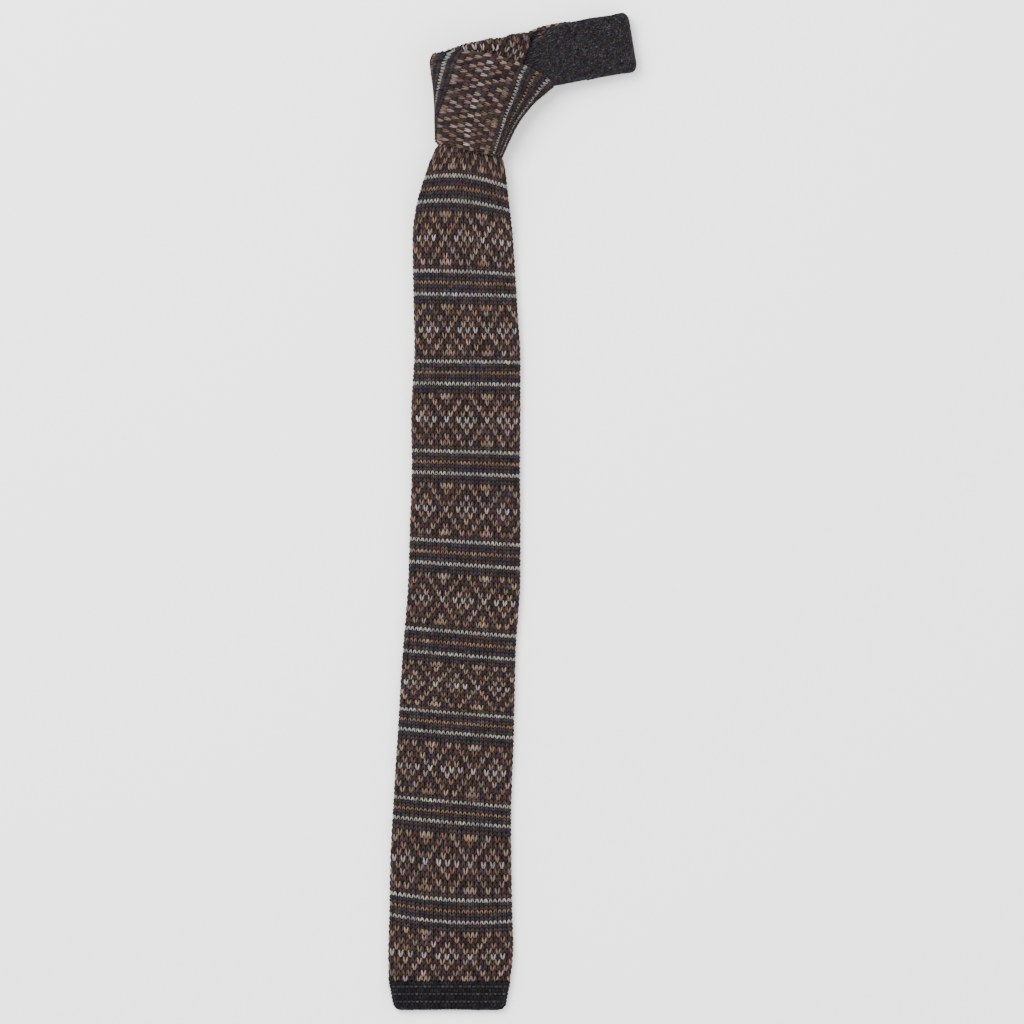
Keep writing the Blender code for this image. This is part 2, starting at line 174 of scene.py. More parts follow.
# Where the two light lines of each repeat lie down the blade, how much lower their right
# side is than their middle, and how much lower both sides are, as shares of BLADE_LENGTH
LineRow = namedtuple("LineRow", "first second lean sag")
LINES = (
    LineRow(0.0319, 0.0620, 0.0055, 0.0073),
    LineRow(0.1462, 0.1739, 0.0016, 0.0000),
    LineRow(0.2545, 0.2810, 0.0006, 0.0000),
    LineRow(0.3629, 0.3893, 0.0022, 0.0000),
    LineRow(0.4712, 0.4988, 0.0040, 0.0000),
    LineRow(0.5795, 0.6072, 0.0055, 0.0000),
    LineRow(0.6770, 0.7010, 0.0055, 0.0000),
    LineRow(0.7841, 0.8082, 0.0063, 0.0000),
    LineRow(0.9020, 0.9285, 0.0040, -0.0052),
)


def smooth(table, column, at):
    """A column of a table at places down its first column, on a cubic through its rows."""
    places = np.array([row[0] for row in table])
    values = np.array([getattr(row, column) for row in table])
    last = len(table) - 1
    low, high = np.maximum(np.arange(last + 1) - 1, 0), np.minimum(np.arange(last + 1) + 1, last)
    slopes = (values[high] - values[low]) / (places[high] - places[low])
    row = np.clip(np.searchsorted(places, at, side="right") - 1, 0, last - 1)
    span = places[row + 1] - places[row]
    t = np.clip((at - places[row]) / span, 0, 1)
    start = values[row] * (1 + 2 * t) * (1 - t) ** 2 + slopes[row] * span * t * (1 - t) ** 2
    return start + values[row + 1] * t * t * (3 - 2 * t) - slopes[row + 1] * span * t * t * (1 - t)


def ease(share):
    """0 to 1 with a level start and end."""
    share = np.clip(share, 0, 1)
    return share * share * (3 - 2 * share)


def blade_width(down):
    """The blade's width: the throat's, and a share of all that it widens by."""
    return THROAT_WIDTH + smooth(BLADE_SHAPE, "spread", down) * (BLADE_WIDTH - THROAT_WIDTH)


def blade_middle(down):
    """How far across the blade's middle line lies: it drifts by shares of the full width."""
    return MOUTH[0] + smooth(BLADE_SHAPE, "drift", down) * BLADE_WIDTH


def blade_layer(u, down):
    """The blade's middle layer: across it by u and down it. It is as high as the knot's mouth
    at first, then falls, and its middle rides over the tail."""
    width = blade_width(down)
    side = np.clip((u - 0.5) * width, -(width - BLADE_THICKNESS) / 2, (width - BLADE_THICKNESS) / 2)
    over = ease((down * BLADE_LENGTH - TAIL_LENGTH - TAIL_THICKNESS) / (OFF_END * TAIL_THICKNESS))
    past_side = np.abs(side) - TAIL_WIDTH / 2 - BESIDE_TAIL * CLEARANCE
    beside = ease(past_side / (OFF_SIDE * TAIL_THICKNESS))
    hump = smooth(BLADE_SHAPE, "hump", down) * (1 - over) * (1 - beside)
    z = smooth(BLADE_SHAPE, "lift", down) * THROAT_LIFT + hump * (TAIL_THICKNESS + CLEARANCE)
    x = blade_middle(down) + (u - 0.5) * width
    return np.stack([x, MOUTH[1] - down * BLADE_LENGTH, z + BLADE_THICKNESS / 2], -1)


def unit(vectors):
    """Each vector divided by its own length."""
    return vectors / np.maximum(np.linalg.norm(vectors, axis=-1, keepdims=True), 1e-12)


def facing(surface, u, v, step=1e-3):
    """The direction a surface faces at (u, v): across its v and its u."""
    along = surface(u, v + step) - surface(u, v - step)
    across = surface(u + step, v) - surface(u - step, v)
    return unit(np.cross(along, across))


def pressed(turn, width, thickness):
    """The section of a tube pressed flat, turn times round from the middle of its front: how
    far to the side of its middle line a point lies, and how far in front of its layer."""
    fold = thickness / 2
    flat = width / 2 - fold
    round_way = 4 * flat + 2 * pi * fold
    way = (turn - np.round(turn)) * round_way
    bend = np.clip((np.abs(way) - flat) / fold, 0, pi)
    beyond = np.maximum(np.abs(way) - flat - pi * fold, 0)
    side = np.sign(way) * (np.minimum(np.abs(way), flat) + fold * np.sin(bend) - beyond)
    return side, fold * np.cos(bend)


def course_length(course):
    """The knitted length up to a course, whose flecked courses are longer than its plain."""
    repeats, within = np.divmod(np.asarray(course, float), REPEAT_COURSES)
    flecks = np.clip(within - FIRST_FLECKED, 0, LAST_FLECKED + 1 - FIRST_FLECKED)
    all_flecks = LAST_FLECKED + 1 - FIRST_FLECKED
    extra = FLECKED_COURSE - PLAIN_COURSE
    whole = REPEAT_COURSES * PLAIN_COURSE + all_flecks * extra
    return repeats * whole + within * PLAIN_COURSE + flecks * extra


# The blade's courses count from its first light line. Some above that lie inside the knot.
FIRST_COURSE, LAST_COURSE = -9, (len(LINES) - 1) * REPEAT_COURSES + LAST_FLECKED + 1
TOP_COURSE, TOP = -11.0, BLADE_SHAPE[0].down
anchors = [(REPEAT_COURSES * i + FIRST_LIGHT, row.first) for i, row in enumerate(LINES)]
anchors += [(REPEAT_COURSES * i + SECOND_LIGHT, row.second) for i, row in enumerate(LINES)]
anchors = np.array(sorted(anchors + [(TOP_COURSE, TOP), (LAST_COURSE, 1.0)]))
line_leans = np.array([(REPEAT_COURSES * i + TAN, row.lean, row.sag) for i, row in enumerate(LINES)])


def blade_down(course):
    """How far down the blade a course lies: by its knitted length between the light lines."""
    return np.interp(course_length(course), course_length(anchors[:, 0]), anchors[:, 1])


def blade_knit(wale, course):
    """A point of the blade's outer face: wale stitches from the middle of its front, and
    course stitches down it. The tube rolls a little to the left towards its tip."""
    down = blade_down(course)
    width = blade_width(down)
    roll = ROLL_TOP + ROLL_MORE * ease((down - ROLL_FROM) / ROLL_OVER)
    side, lift = pressed((wale + roll) / BLADE_WALES, width, BLADE_THICKNESS)
    across = side * 2 / width
    steady = ease((1.0 - down) / STEADY_TIP) * ease((down + STEADY_MOUTH / 3) / STEADY_MOUTH)
    lean = np.interp(course, line_leans[:, 0], line_leans[:, 1]) * steady
    sag = np.interp(course, line_leans[:, 0], line_leans[:, 2]) * steady
    down = np.clip(down + lean * across + sag * across ** 2, TOP, 1.0)
    point = blade_layer(0.5 + side / width, down)
    point[..., 2] += lift
    return point


def link_mesh(name, points, polygons):
    """An object with a mesh of points and arrays of equal-sided polygons, shaded smooth."""
    mesh = bpy.data.meshes.new(name)
    mesh.vertices.add(len(points))
    mesh.vertices.foreach_set("co", np.ascontiguousarray(points, np.float32).ravel())
    corners = np.concatenate([group.ravel() for group in polygons])
    sides = np.concatenate([np.full(len(group), group.shape[1]) for group in polygons])
    mesh.loops.add(len(corners))
    mesh.loops.foreach_set("vertex_index", corners.astype(np.int32))
    mesh.polygons.add(len(sides))
    mesh.polygons.foreach_set("loop_start", (np.cumsum(sides) - sides).astype(np.int32))
    mesh.polygons.foreach_set("loop_total", sides.astype(np.int32))
    mesh.polygons.foreach_set("use_smooth", np.ones(len(sides), bool))
    mesh.update(calc_edges=True)
    mesh.validate()
    piece = bpy.data.objects.new(name, mesh)
    bpy.context.scene.collection.objects.link(piece)
    return piece


def skin(name, points, closed_rows=False):
    """A closed skin through a grid of points whose columns close on themselves. Its rows
    close too, or else its first and last row are capped by a fan round their middle."""
    rows, columns = points.shape[:2]
    joined = rows if closed_rows else rows - 1
    r, c = np.meshgrid(np.arange(joined), np.arange(columns), indexing="ij")
    below, beside = (r + 1) % rows, (c + 1) % columns
    quads = np.stack([r * columns + c, below * columns + c, below * columns + beside,
                      r * columns + beside], -1).reshape(-1, 4)
    spots, polygons = points.reshape(-1, 3), [quads]
    if not closed_rows:
        ring = np.arange(columns)
        after = (ring + 1) % columns
        end = (rows - 1) * columns
        spots = np.concatenate([spots, points[:1].mean(1), points[-1:].mean(1)])
        polygons.append(np.stack([after, np.full(columns, len(spots) - 2), ring], -1))
        polygons.append(np.stack([ring + end, np.full(columns, len(spots) - 1), after + end], -1))
    return link_mesh(name, spots, polygons)


# The yarn turns once in 4 mm. A strand's two end points lie deep, and are painted dark as
# painted shade. Each strand starts at another place in the yarn.
YARN_TWIST = 2 * pi / 0.004
TIP_PAINTED_SHADE = 0.35
PLACE_STEP = 0.618


def strands(name, centre, out, half_width, half_depth, sides, colours, shade):
    """Short strands of yarn or fibre as one mesh. Each closes to a point at both ends of its
    middle line, and has a ring of points at each place between. The floor flattens them where
    they lie on it. shade is the painted shade on a strand's colour at its rings and round them,
    and its two end points are painted dark too. Its points keep their place in the yarn, which
    streaks follow."""
    beside = unit(np.cross(np.gradient(centre, axis=1), out))
    angle = 2 * pi * np.arange(sides) / sides + pi / 2
    wide, deep = half_width[:, 1:-1, None], half_depth[:, 1:-1, None]
    rim = (centre[:, 1:-1, None] + beside[:, 1:-1, None] * (wide * np.cos(angle))[..., None]
           + out[:, 1:-1, None] * (deep * np.sin(angle))[..., None])
    count, rows = len(centre), centre.shape[1] - 2
    points = np.concatenate([rim.reshape(count, -1, 3), centre[:, [0, -1]]], 1)
    points[..., 2] = np.maximum(points[..., 2], 0)

    r, s = np.meshgrid(np.arange(rows - 1), np.arange(sides), indexing="ij")
    t = (s + 1) % sides
    quads = np.stack([r * sides + s, r * sides + t, (r + 1) * sides + t, (r + 1) * sides + s], -1)
    ring = np.arange(sides)
    after = (ring + 1) % sides
    last = (rows - 1) * sides
    caps = np.concatenate([
        np.stack([after, ring, np.full(sides, rows * sides)], -1),
        np.stack([ring + last, after + last, np.full(sides, rows * sides + 1)], -1),
    ])
    first = (np.arange(count) * points.shape[1])[:, None, None]
    piece = link_mesh(name, points.reshape(-1, 3), [
        (quads.reshape(1, -1, 4) + first).reshape(-1, 4),
        (caps.reshape(1, -1, 3) + first).reshape(-1, 3),
    ])

    way = np.cumsum(np.linalg.norm(np.diff(centre, axis=1, prepend=centre[:, :1]), axis=-1), 1)
    turn = angle + way[:, 1:-1, None] * YARN_TWIST
    place = np.stack([np.cos(turn) * wide, np.sin(turn) * wide, way[:, 1:-1, None] + 0 * turn], -1)
    tips = np.stack([0 * way[:, [0, -1]], 0 * way[:, [0, -1]], way[:, [0, -1]]], -1)
    place = np.concatenate([place.reshape(count, -1, 3), tips], 1)
    place[..., 0] += (np.arange(count) * PLACE_STEP % 1)[:, None]
    # Each colour is multiplied by its painted shade, at the rings and at the two end points
    light = np.concatenate([np.asarray(shade).ravel(), [TIP_PAINTED_SHADE, TIP_PAINTED_SHADE]])
    colour = colours[:, None, :] * light[:, None]
    paint(piece, np.clip(colour.reshape(-1, 3), 0, 1), place.reshape(-1, 3))
    return piece


# The widest that a wale is taken to be, in median wales of its piece
WIDEST_PITCH = 1.4


def lie(knit, wale, course, step=0.05):
    """How wide a wale is at a place of a knitted face, and which way the face looks there.
    Where the face turns a sharp edge the width is held down."""
    across = (knit(wale + step, course) - knit(wale - step, course)) / (2 * step)
    along = knit(wale, course + step) - knit(wale, course - step)
    pitch = np.linalg.norm(across, axis=-1)
    return np.minimum(pitch, WIDEST_PITCH * np.median(pitch)), unit(np.cross(along, across))


# One leg of a stitch: how far along it each ring of points lies, and the ring's size there.
# Legs out of sight have fewer rings and sides. Its sizes are shares of a wale's width, its
# start and length shares of a course, and its dip is in half depths. Legs are loose by
# LEG_LOOSE, stray in colour by LEG_STREAK, and are painted darker towards their ends and
# their sides, as painted shade.
LEG_RINGS = ((0.15, 0.84), (0.50, 1.00), (0.85, 0.76))
HIDDEN_RINGS = ((0.30, 1.0), (0.74, 0.90))
LEG_SIDES, HIDDEN_SIDES = 5, 4
LEG_SPREAD, LEG_FOOT = 0.50, 0.08
LEG_START, LEG_LENGTH = -0.14, 1.36
LEG_HALF_WIDTH, LEG_HALF_DEPTH = 0.235, 0.30
LEG_DIP, LEG_TIP = 1.3, 0.3
LEG_LOOSE, LEG_STREAK = 0.04, 0.17
# How much painted shade darkens a leg's ends and its sides
LEG_END_PAINTED_SHADE, LEG_SIDE_PAINTED_SHADE = 0.45, 0.55

# How much of its looseness shows aside, and of its streak in each of red, green and blue. Its
# arch is a power of a sine, from ARCH_FROM on over ARCH_SPAN of half a turn. Its painted
# shade is darkest where the sine of the place round it is under DARK_UNDER, and lightest over
# LIGHT_OVER.
LEG_ASIDE, LEG_TINGE = 0.6, 0.25
ARCH_FROM, ARCH_SPAN, ARCH_POWER = 0.07, 0.82, 0.8
DARK_UNDER, LIGHT_OVER = -0.7, 0.8


def stitch_legs(name, knit, wales, courses, colours, plump, seed, hidden=False, sunk=0.0003,
                spread=LEG_SPREAD, foot=LEG_FOOT):
    """Two legs for each stitch. A leg runs from the top corner of its stitch down and in to
    the foot of the V, dips at both ends and is plump between. Each has its own tone, and is
    painted darker down its sides and at its ends: painted shade, where the fibres shade each other."""
    rng = np.random.default_rng(seed)
    rings, sides = (HIDDEN_RINGS, HIDDEN_SIDES) if hidden else (LEG_RINGS, LEG_SIDES)
    ways = np.concatenate([[0.0], [ring[0] for ring in rings], [1.0]])
    sizes = np.concatenate([[LEG_TIP], [ring[1] for ring in rings], [LEG_TIP]])
    hand = np.array([-1.0, 1.0])[None, :, None]
    wobble = rng.normal(0, LEG_LOOSE, (len(wales), 2, 4))
    spread = np.broadcast_to(spread, len(wales))[:, None, None]
    aside = spread + (foot - spread) * ways + wobble[..., :1] * LEG_ASIDE
    wale = wales[:, None, None] + 0.5 + hand * aside
    course = courses[:, None, None] + LEG_START + LEG_LENGTH * ways + wobble[..., 1:2]
    wale, course = wale.reshape(-1, len(ways)), course.reshape(-1, len(ways))
    pitch, out = lie(knit, wale, course)
    size = pitch * sizes * np.repeat(plump, 2)[:, None] * (1 + wobble[..., 2].reshape(-1, 1))
    arch = np.sin(pi * (ways * ARCH_SPAN + ARCH_FROM)) ** ARCH_POWER
    lift = (arch - 1) * LEG_HALF_DEPTH * pitch * LEG_DIP - sunk
    centre = knit(wale, course) + out * lift[..., None]
    angle = 2 * pi * np.arange(sides) / sides + pi / 2
    # Painted shade: the legs darken towards their thin ends and down their sides
    ends = 1 - LEG_END_PAINTED_SHADE + LEG_END_PAINTED_SHADE * np.array([ring[1] for ring in rings]) ** 2
    facing_out = ease((np.sin(angle) - DARK_UNDER) / (LIGHT_OVER - DARK_UNDER))
    shade = ends[:, None] * (1 - LEG_SIDE_PAINTED_SHADE + LEG_SIDE_PAINTED_SHADE * facing_out)
    legs = len(wale)
    tone = rng.normal(0, LEG_STREAK, (legs, 1)) + rng.normal(0, LEG_STREAK * LEG_TINGE, (legs, 3))
    return strands(name, centre, out, size * LEG_HALF_WIDTH, size * LEG_HALF_DEPTH, sides,
                   np.repeat(colours, 2, 0) * np.exp(tone), shade)


# A loose fibre: drawn 0.1 mm thick, as its real 0.02 mm is too fine to show. How far it
# slants from its wale, how far it bends, and how much lighter than its yarn it is, and strays
HAIR_HALF_WIDTH = 0.00005
HAIR_SLANT, HAIR_BEND = 0.8, 0.15
HAIR_LIGHTER, HAIR_STRAY = 0.25, 0.35


def fuzz(name, knit, wales, courses, colours, count, seed, stand=(0.00018, 0.0005),
         reaches=(0.35, 0.95)):
    """Loose fibres over a face, as one mesh of thin bent strands. Each lies across a stitch in
    that stitch's colour, at a slant, and its middle stands off the face."""
    rng = np.random.default_rng(seed)
    picked = rng.integers(0, len(wales), count)
    heading, reach = rng.normal(0, HAIR_SLANT, (count, 1)), rng.uniform(*reaches, (count, 1))
    ways = np.array([-1.0, 0.0, 1.0])
    bend = rng.normal(0, HAIR_BEND, (count, 1)) * (1 - ways ** 2)
    wale = wales[picked, None] + rng.random((count, 1)) + ways * reach * np.sin(heading) + bend
    course = courses[picked, None] + rng.random((count, 1)) + ways * reach * np.cos(heading)
    pitch, out = lie(knit, wale, course)
    lift = stand[0] + (rng.uniform(*stand, (count, 1)) - stand[0]) * (1 - ways ** 2)
    size = np.full((count, 3), HAIR_HALF_WIDTH)
    tone = np.exp(rng.normal(HAIR_LIGHTER, HAIR_STRAY, (count, 1)))
    return strands(name, knit(wale, course) + out * lift[..., None], out, size, size, 3,
                   colours[picked] * tone, np.ones((1, 3)))


def paint(piece, colours, places=None):
    """Keeps a linear colour for each point of a mesh, which its material reads, and, for
    strands, the point's place in its yarn."""
    layer = piece.data.color_attributes.new("yarn_colour", "FLOAT_COLOR", "POINT")
    full = np.concatenate([colours, np.ones((len(colours), 1))], 1)
    layer.data.foreach_set("color", full.astype(np.float32).ravel())
    if places is not None:
        layer = piece.data.attributes.new("yarn_place", "FLOAT_VECTOR", "POINT")
        layer.data.foreach_set("vector", places.astype(np.float32).ravel())


# The yarns' colours, in the order in which one shades into the next along the yarn
DARK_YARN = ("282121", "2d2321", "212028", "2a2028", "2e2524", "252227", "282422")
FLECK_YARN = ("62534c", "5b473b", "685b53", "5a4439", "5c5244", "695649", "5f524f")
LIGHT_YARN = ("716d68", "78746e", "6b6861", "736e6f", "7a7771")
LINE_YARN = ("5c4639", "624d3e", "534034", "5a4d46")
CHARCOAL_YARN = ("181618", "1b1a1d", "131115", "1f1e23")
# The purl ridges' charcoal: the end band's yarn, painted lighter as painted highlight on the raised
# ridges
RIDGE_LIT_CHARCOAL = ("292729", "2d2b2e", "242224")

# The dark yarn looks browner among the flecks, whose fibres mat into it, than on its own
PANEL_TINT, PLAIN_TINT = (1.30, 1.12, 0.98), (1.10, 1.12, 1.08)

# How thick a yarn's legs are beside a plain stitch's: the lines of one colour are drawn tight
LINE_PLUMP, FLECK_PLUMP, DARK_PLUMP = 0.72, 0.96, 1.06


# The yarn passes from one shade to the next about every third wale, and strays meanwhile
RUN_WALES, RUN_STRAY = 3, 0.7


def shaded(palette, wales, courses, rng, jitter=0.16):
    """Colours that drift along each course through a palette, and stray a little a stitch."""
    table = np.array([linear(colour) for colour in palette])
    courses = np.asarray(courses, int) - int(np.min(courses))
    wales = np.asarray(wales, int) - int(np.min(wales))
    runs = rng.random((courses.max() + 1, wales.max() // RUN_WALES + 2)) * len(table)
    place, part = wales // RUN_WALES, (wales % RUN_WALES) / RUN_WALES
    drift = runs[courses, place] * (1 - part) + runs[courses, place + 1] * part
    drift = drift + rng.normal(0, RUN_STRAY, len(wales))
    low = np.floor(drift).astype(int) % len(table)
    part = (drift % 1)[:, None]
    colour = table[low] * (1 - part) + table[(low + 1) % len(table)] * part
    return colour * np.exp(rng.normal(0, jitter, (len(wales), 1)))


def charted(wales, courses, rng, lone=0):
    """The yarn colours of stitches by the chart, whose first column falls on wale lone, and
    how plump their legs are."""
    chart = np.array([list(row) for row in REPEAT])
    within = np.asarray(courses, int) % REPEAT_COURSES
    mark = chart[within, (np.asarray(wales, int) - lone) % chart.shape[1]]
    tint = np.where((within >= FIRST_FLECKED)[:, None], PANEL_TINT, PLAIN_TINT)
    colour = shaded(DARK_YARN, wales, courses, rng) * tint
    for sign, palette in (("X", FLECK_YARN), ("W", LIGHT_YARN), ("T", LINE_YARN)):
        picked = mark == sign
        colour[picked] = shaded(palette, wales, courses, rng)[picked]
    plump = np.select([(mark != ".") & (within < FIRST_FLECKED), mark != "."],
                      [LINE_PLUMP, FLECK_PLUMP], DARK_PLUMP)
    return colour, plump


def put_node(material, kind, settings=None, links=None):
    """Adds a node with its input or own values, and links other nodes' sockets into it."""
    tree = material.node_tree
    node = tree.nodes.new(kind)
    for key, value in (settings or {}).items():
        if isinstance(key, int) or key in node.inputs:
            node.inputs[key].default_value = value
        else:
            setattr(node, key, value)
    for key, (other, socket) in (links or {}).items():
        tree.links.new(other.outputs[socket], node.inputs[key])
    return node


# Two-ply lambswool, spun from dyed fibres of several shades and milled soft after knitting:
# matt, with a faint bloom of loose fibre at grazing angles, and streaked along its twist.
def wool_material(name, fleck, grain, bloom, place="yarn_place"):
    """Wool whose fibres stray from the yarn's colour by fleck in each of red, green and blue,
    grain patches to a metre: single fibres are too fine to show, so a patch is a clump of
    them, 0.4 to 1 mm across. They follow the yarn, or the object where there is none."""
    material = bpy.data.materials.new(name)
    material.use_nodes = True
    shader = material.node_tree.nodes["Principled BSDF"]
    shader.inputs["Roughness"].default_value = 0.92
    shader.inputs["Specular IOR Level"].default_value = 0.03
    shader.inputs["Sheen Weight"].default_value = bloom
    shader.inputs["Sheen Roughness"].default_value = 0.5
    colour = put_node(material, "ShaderNodeAttribute", {"attribute_name": "yarn_colour"})
    if place == "Object":
        at = put_node(material, "ShaderNodeTexCoord"), "Object"
    else:
        yarn = put_node(material, "ShaderNodeAttribute", {"attribute_name": place})
        at = put_node(material, "ShaderNodeVectorMath", {
            "operation": "MULTIPLY", 1: (1.0, 1.0, 0.35),
        }, {0: (yarn, "Vector")}), "Vector"
    fibres = put_node(material, "ShaderNodeTexNoise", {
        "Scale": grain, "Detail": 3.0, "Roughness": 0.65,
    }, {"Vector": at})
    spread = put_node(material, "ShaderNodeVectorMath", {
        "operation": "MULTIPLY_ADD", 1: (fleck * 3,) * 3, 2: (1 - fleck * 1.5,) * 3,
    }, {0: (fibres, "Color")})
    tint = put_node(material, "ShaderNodeVectorMath", {"operation": "MULTIPLY"}, {
        0: (colour, "Color"), 1: (spread, "Vector"),
    })
    whole = put_node(material, "ShaderNodeVectorMath", {"operation": "MAXIMUM", 1: (0.0, 0.0, 0.0)},
                     {0: (tint, "Vector")})
    material.node_tree.links.new(whole.outputs["Vector"], shader.inputs["Base Color"])
    bump = put_node(material, "ShaderNodeBump", {"Strength": 0.35, "Distance": 0.0002},
                    {"Height": (fibres, "Fac")})
    material.node_tree.links.new(bump.outputs["Normal"], shader.inputs["Normal"])
    return material


knitted = wool_material("two-ply lambswool, stranded knitting", 0.33, 2400.0, 0.02)

# The strands that pass behind the stitches, which lie in their shade and so show no bloom
shadow_wool = wool_material("lambswool floats behind the stitches", 0.30, 2200.0, 0.0, "Object")


def dress(piece, material, node):
    """Gives a piece its finish, and lets it stand for a solid of the frame."""
    piece.data.materials.append(material)
    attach(piece, "root")
    if node:
        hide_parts(node)


# The floats are real strands of yarn, but painted near black, darker than any of the yarns, as painted
# shade in the gaps between the stitches
FLOAT_PAINTED_SHADE = linear("0f0b0a")


def backing(name, knit, wale_steps, course_steps, sunk, node, closed_rows=False):
    """The floats just under the stitches, as one closed skin, painted near black as shade."""
    course, wale = np.meshgrid(course_steps, wale_steps, indexing="ij")
    points = knit(wale, course)
    step = 0.05
    across = knit(wale + step, course) - knit(wale - step, course)
    along = knit(wale, np.minimum(course + step, course_steps[-1])) - knit(
        wale, np.maximum(course - step, course_steps[0]))
    points = points - unit(np.cross(along, across)) * sunk
    piece = skin(name, points, closed_rows)
    paint(piece, np.tile(FLOAT_PAINTED_SHADE, (len(piece.data.vertices), 1)))
    dress(piece, shadow_wool, node)
    return piece


ALL_ROUND = np.arange(0, BLADE_WALES, 0.5) - BLADE_WALES / 2
blade_floats = backing("blade_floats", blade_knit, ALL_ROUND, np.arange(FIRST_COURSE, LAST_COURSE + 1.0),
                       FLOATS_SUNK, "front_blade")


def stitches(first_course, last_course, first_wale, last_wale):
    """The wales and the courses of a field of stitches, row by row."""
    courses, wales = np.meshgrid(np.arange(first_course, last_course),
                                 np.arange(first_wale, last_wale), indexing="ij")
    return wales.ravel(), courses.ravel()


# The wales of the blade's front, the wale where the chart starts, and the courses between
# which its front is split into pieces of a handy size
FRONT_FIRST, FRONT_LAST, CHART_WALE = -15, 15, -5
BLADE_SPLITS = (FIRST_COURSE, 50, 110, LAST_COURSE)
rng = np.random.default_rng(20)
blade_pieces, blade_colours = [], []
for part, (start, stop) in enumerate(zip(BLADE_SPLITS, BLADE_SPLITS[1:])):
    wales, courses = stitches(start, stop, FRONT_FIRST, FRONT_LAST)
    colours, plump = charted(wales, courses, rng, CHART_WALE)
    blade_colours.append(colours)
    blade_pieces.append(stitch_legs(f"blade_front_stitches_{part + 1}", blade_knit, wales, courses,
                                    colours, plump, part, sunk=0.0001))
wales, courses = stitches(FIRST_COURSE, LAST_COURSE, FRONT_LAST, BLADE_WALES + FRONT_FIRST)
blade_pieces.append(stitch_legs("blade_back_stitches", blade_knit, wales, courses,
                                *charted(wales, courses, rng, CHART_WALE), 9, hidden=True))
wales, courses = stitches(FIRST_COURSE, LAST_COURSE, FRONT_FIRST, FRONT_LAST)
blade_pieces.append(fuzz("blade_fuzz", blade_knit, wales, courses,
                         np.concatenate(blade_colours), 9000, 10))
for piece in blade_pieces:
    dress(piece, knitted, None)


# The wrap: the same knitting, one turn of the wide strip round the outside of the knot. Its
# wales run round the knot, so its V's lie on their side, and its stripes fan upwards. Its
# top and bottom edges are where the flattened tube folds.
KNOT_LENGTH, KNOT_WIDTH = 0.0431, 0.0593
MOUTH_WIDTH, MOUTH_HEIGHT, MOUTH_SLANT = 0.0310, 0.0169, radians(12.3)
KNOT_HEIGHT, KNOT_BOW, KNOT_SQUARENESS = 0.0223, 0.0056, 2.6
WRAP_WALL = 0.0032
# The last number paints the wrap's stitches darker than the blade's: painted shade on the same yarn
WRAP_WALES, WRAP_SUNK, WRAP_PAINTED_SHADE = 31, 0.0006, 0.84
WRAP_PLUMP, WRAP_SPREAD, WRAP_FOOT = 1.15, 0.36, 0.12
WRAP_COURSES = (-8, 38)

WrapRow = namedtuple("WrapRow", "up out_left out_right up_left up_right bow swell")
WRAP_SHAPE = (
    WrapRow(0.00, 0.035, 0.000, 0.000, 0.000, 0.00, 0.00),
    WrapRow(0.25, 0.045, 0.125, 0.265, 0.186, 0.05, 0.60),
    WrapRow(0.50, 0.055, 0.295, 0.510, 0.400, 0.25, 0.95),
    WrapRow(0.75, 0.102, 0.556, 0.768, 0.613, 0.62, 1.06),
    WrapRow(0.90, 0.124, 0.777, 0.905, 0.736, 0.85, 1.04),
    WrapRow(1.00, 0.078, 0.922, 1.000, 0.819, 1.00, 1.00),
)

# How far round the wrap's front from its left side four of its courses lie, by height
StripeRow = namedtuple("StripeRow", "up left middle right outer")
WRAP_STRIPES = (
    StripeRow(0.00, -0.0030, 0.0196, 0.0334, 0.0374),
    StripeRow(0.25, -0.0008, 0.0221, 0.0381, 0.0429),
    StripeRow(0.50, 0.0050, 0.0254, 0.0420, 0.0490),
    StripeRow(0.75, 0.0099, 0.0303, 0.0475, 0.0575),
    StripeRow(1.00, 0.0139, 0.0356, 0.0513, 0.0646),
)
STRIPE_COURSES = (6.5, 13.5, 19.5, 25.5)


def wrap_point(turn, up, depth=0.0):
    """A point of the wrap, turn half turns round it from its right side over its front, up
    from its mouth to its rim, and depth inside its outer face."""
    wider, slant = KNOT_WIDTH - MOUTH_WIDTH, tan(MOUTH_SLANT) * MOUTH_WIDTH / 2
    left, right = (MOUTH + np.stack([
        hand * (MOUTH_WIDTH / 2 + smooth(WRAP_SHAPE, "out" + name, up) * wider),
        smooth(WRAP_SHAPE, "up" + name, up) * KNOT_LENGTH - hand * slant,
    ], -1) for hand, name in ((-1, "_left"), (1, "_right")))
    half = (right - left) / 2
    length = np.linalg.norm(half, axis=-1)
    level = half / length[..., None]
    upward = np.stack([-level[..., 1], level[..., 0]], -1)
    height = MOUTH_HEIGHT + smooth(WRAP_SHAPE, "swell", up) * (KNOT_HEIGHT - MOUTH_HEIGHT)
    across, over = np.cos(turn * pi), np.sin(turn * pi)
    power = np.where(over >= 0, 2, 1) / KNOT_SQUARENESS
    side = np.sign(across) * np.abs(across) ** power
    lift = np.sign(over) * np.abs(over) ** power
    rise = height / 2 - depth + np.where(over >= 0, 0, WRAP_WALL / 8)
    bow = smooth(WRAP_SHAPE, "bow", up) * KNOT_BOW * (1 - side * side)
    spot = (left + right) / 2 + level * ((length - depth) * side)[..., None] + upward * bow[..., None]
    return np.concatenate([spot, np.maximum(depth, height / 2 + rise * lift)[..., None]], -1)


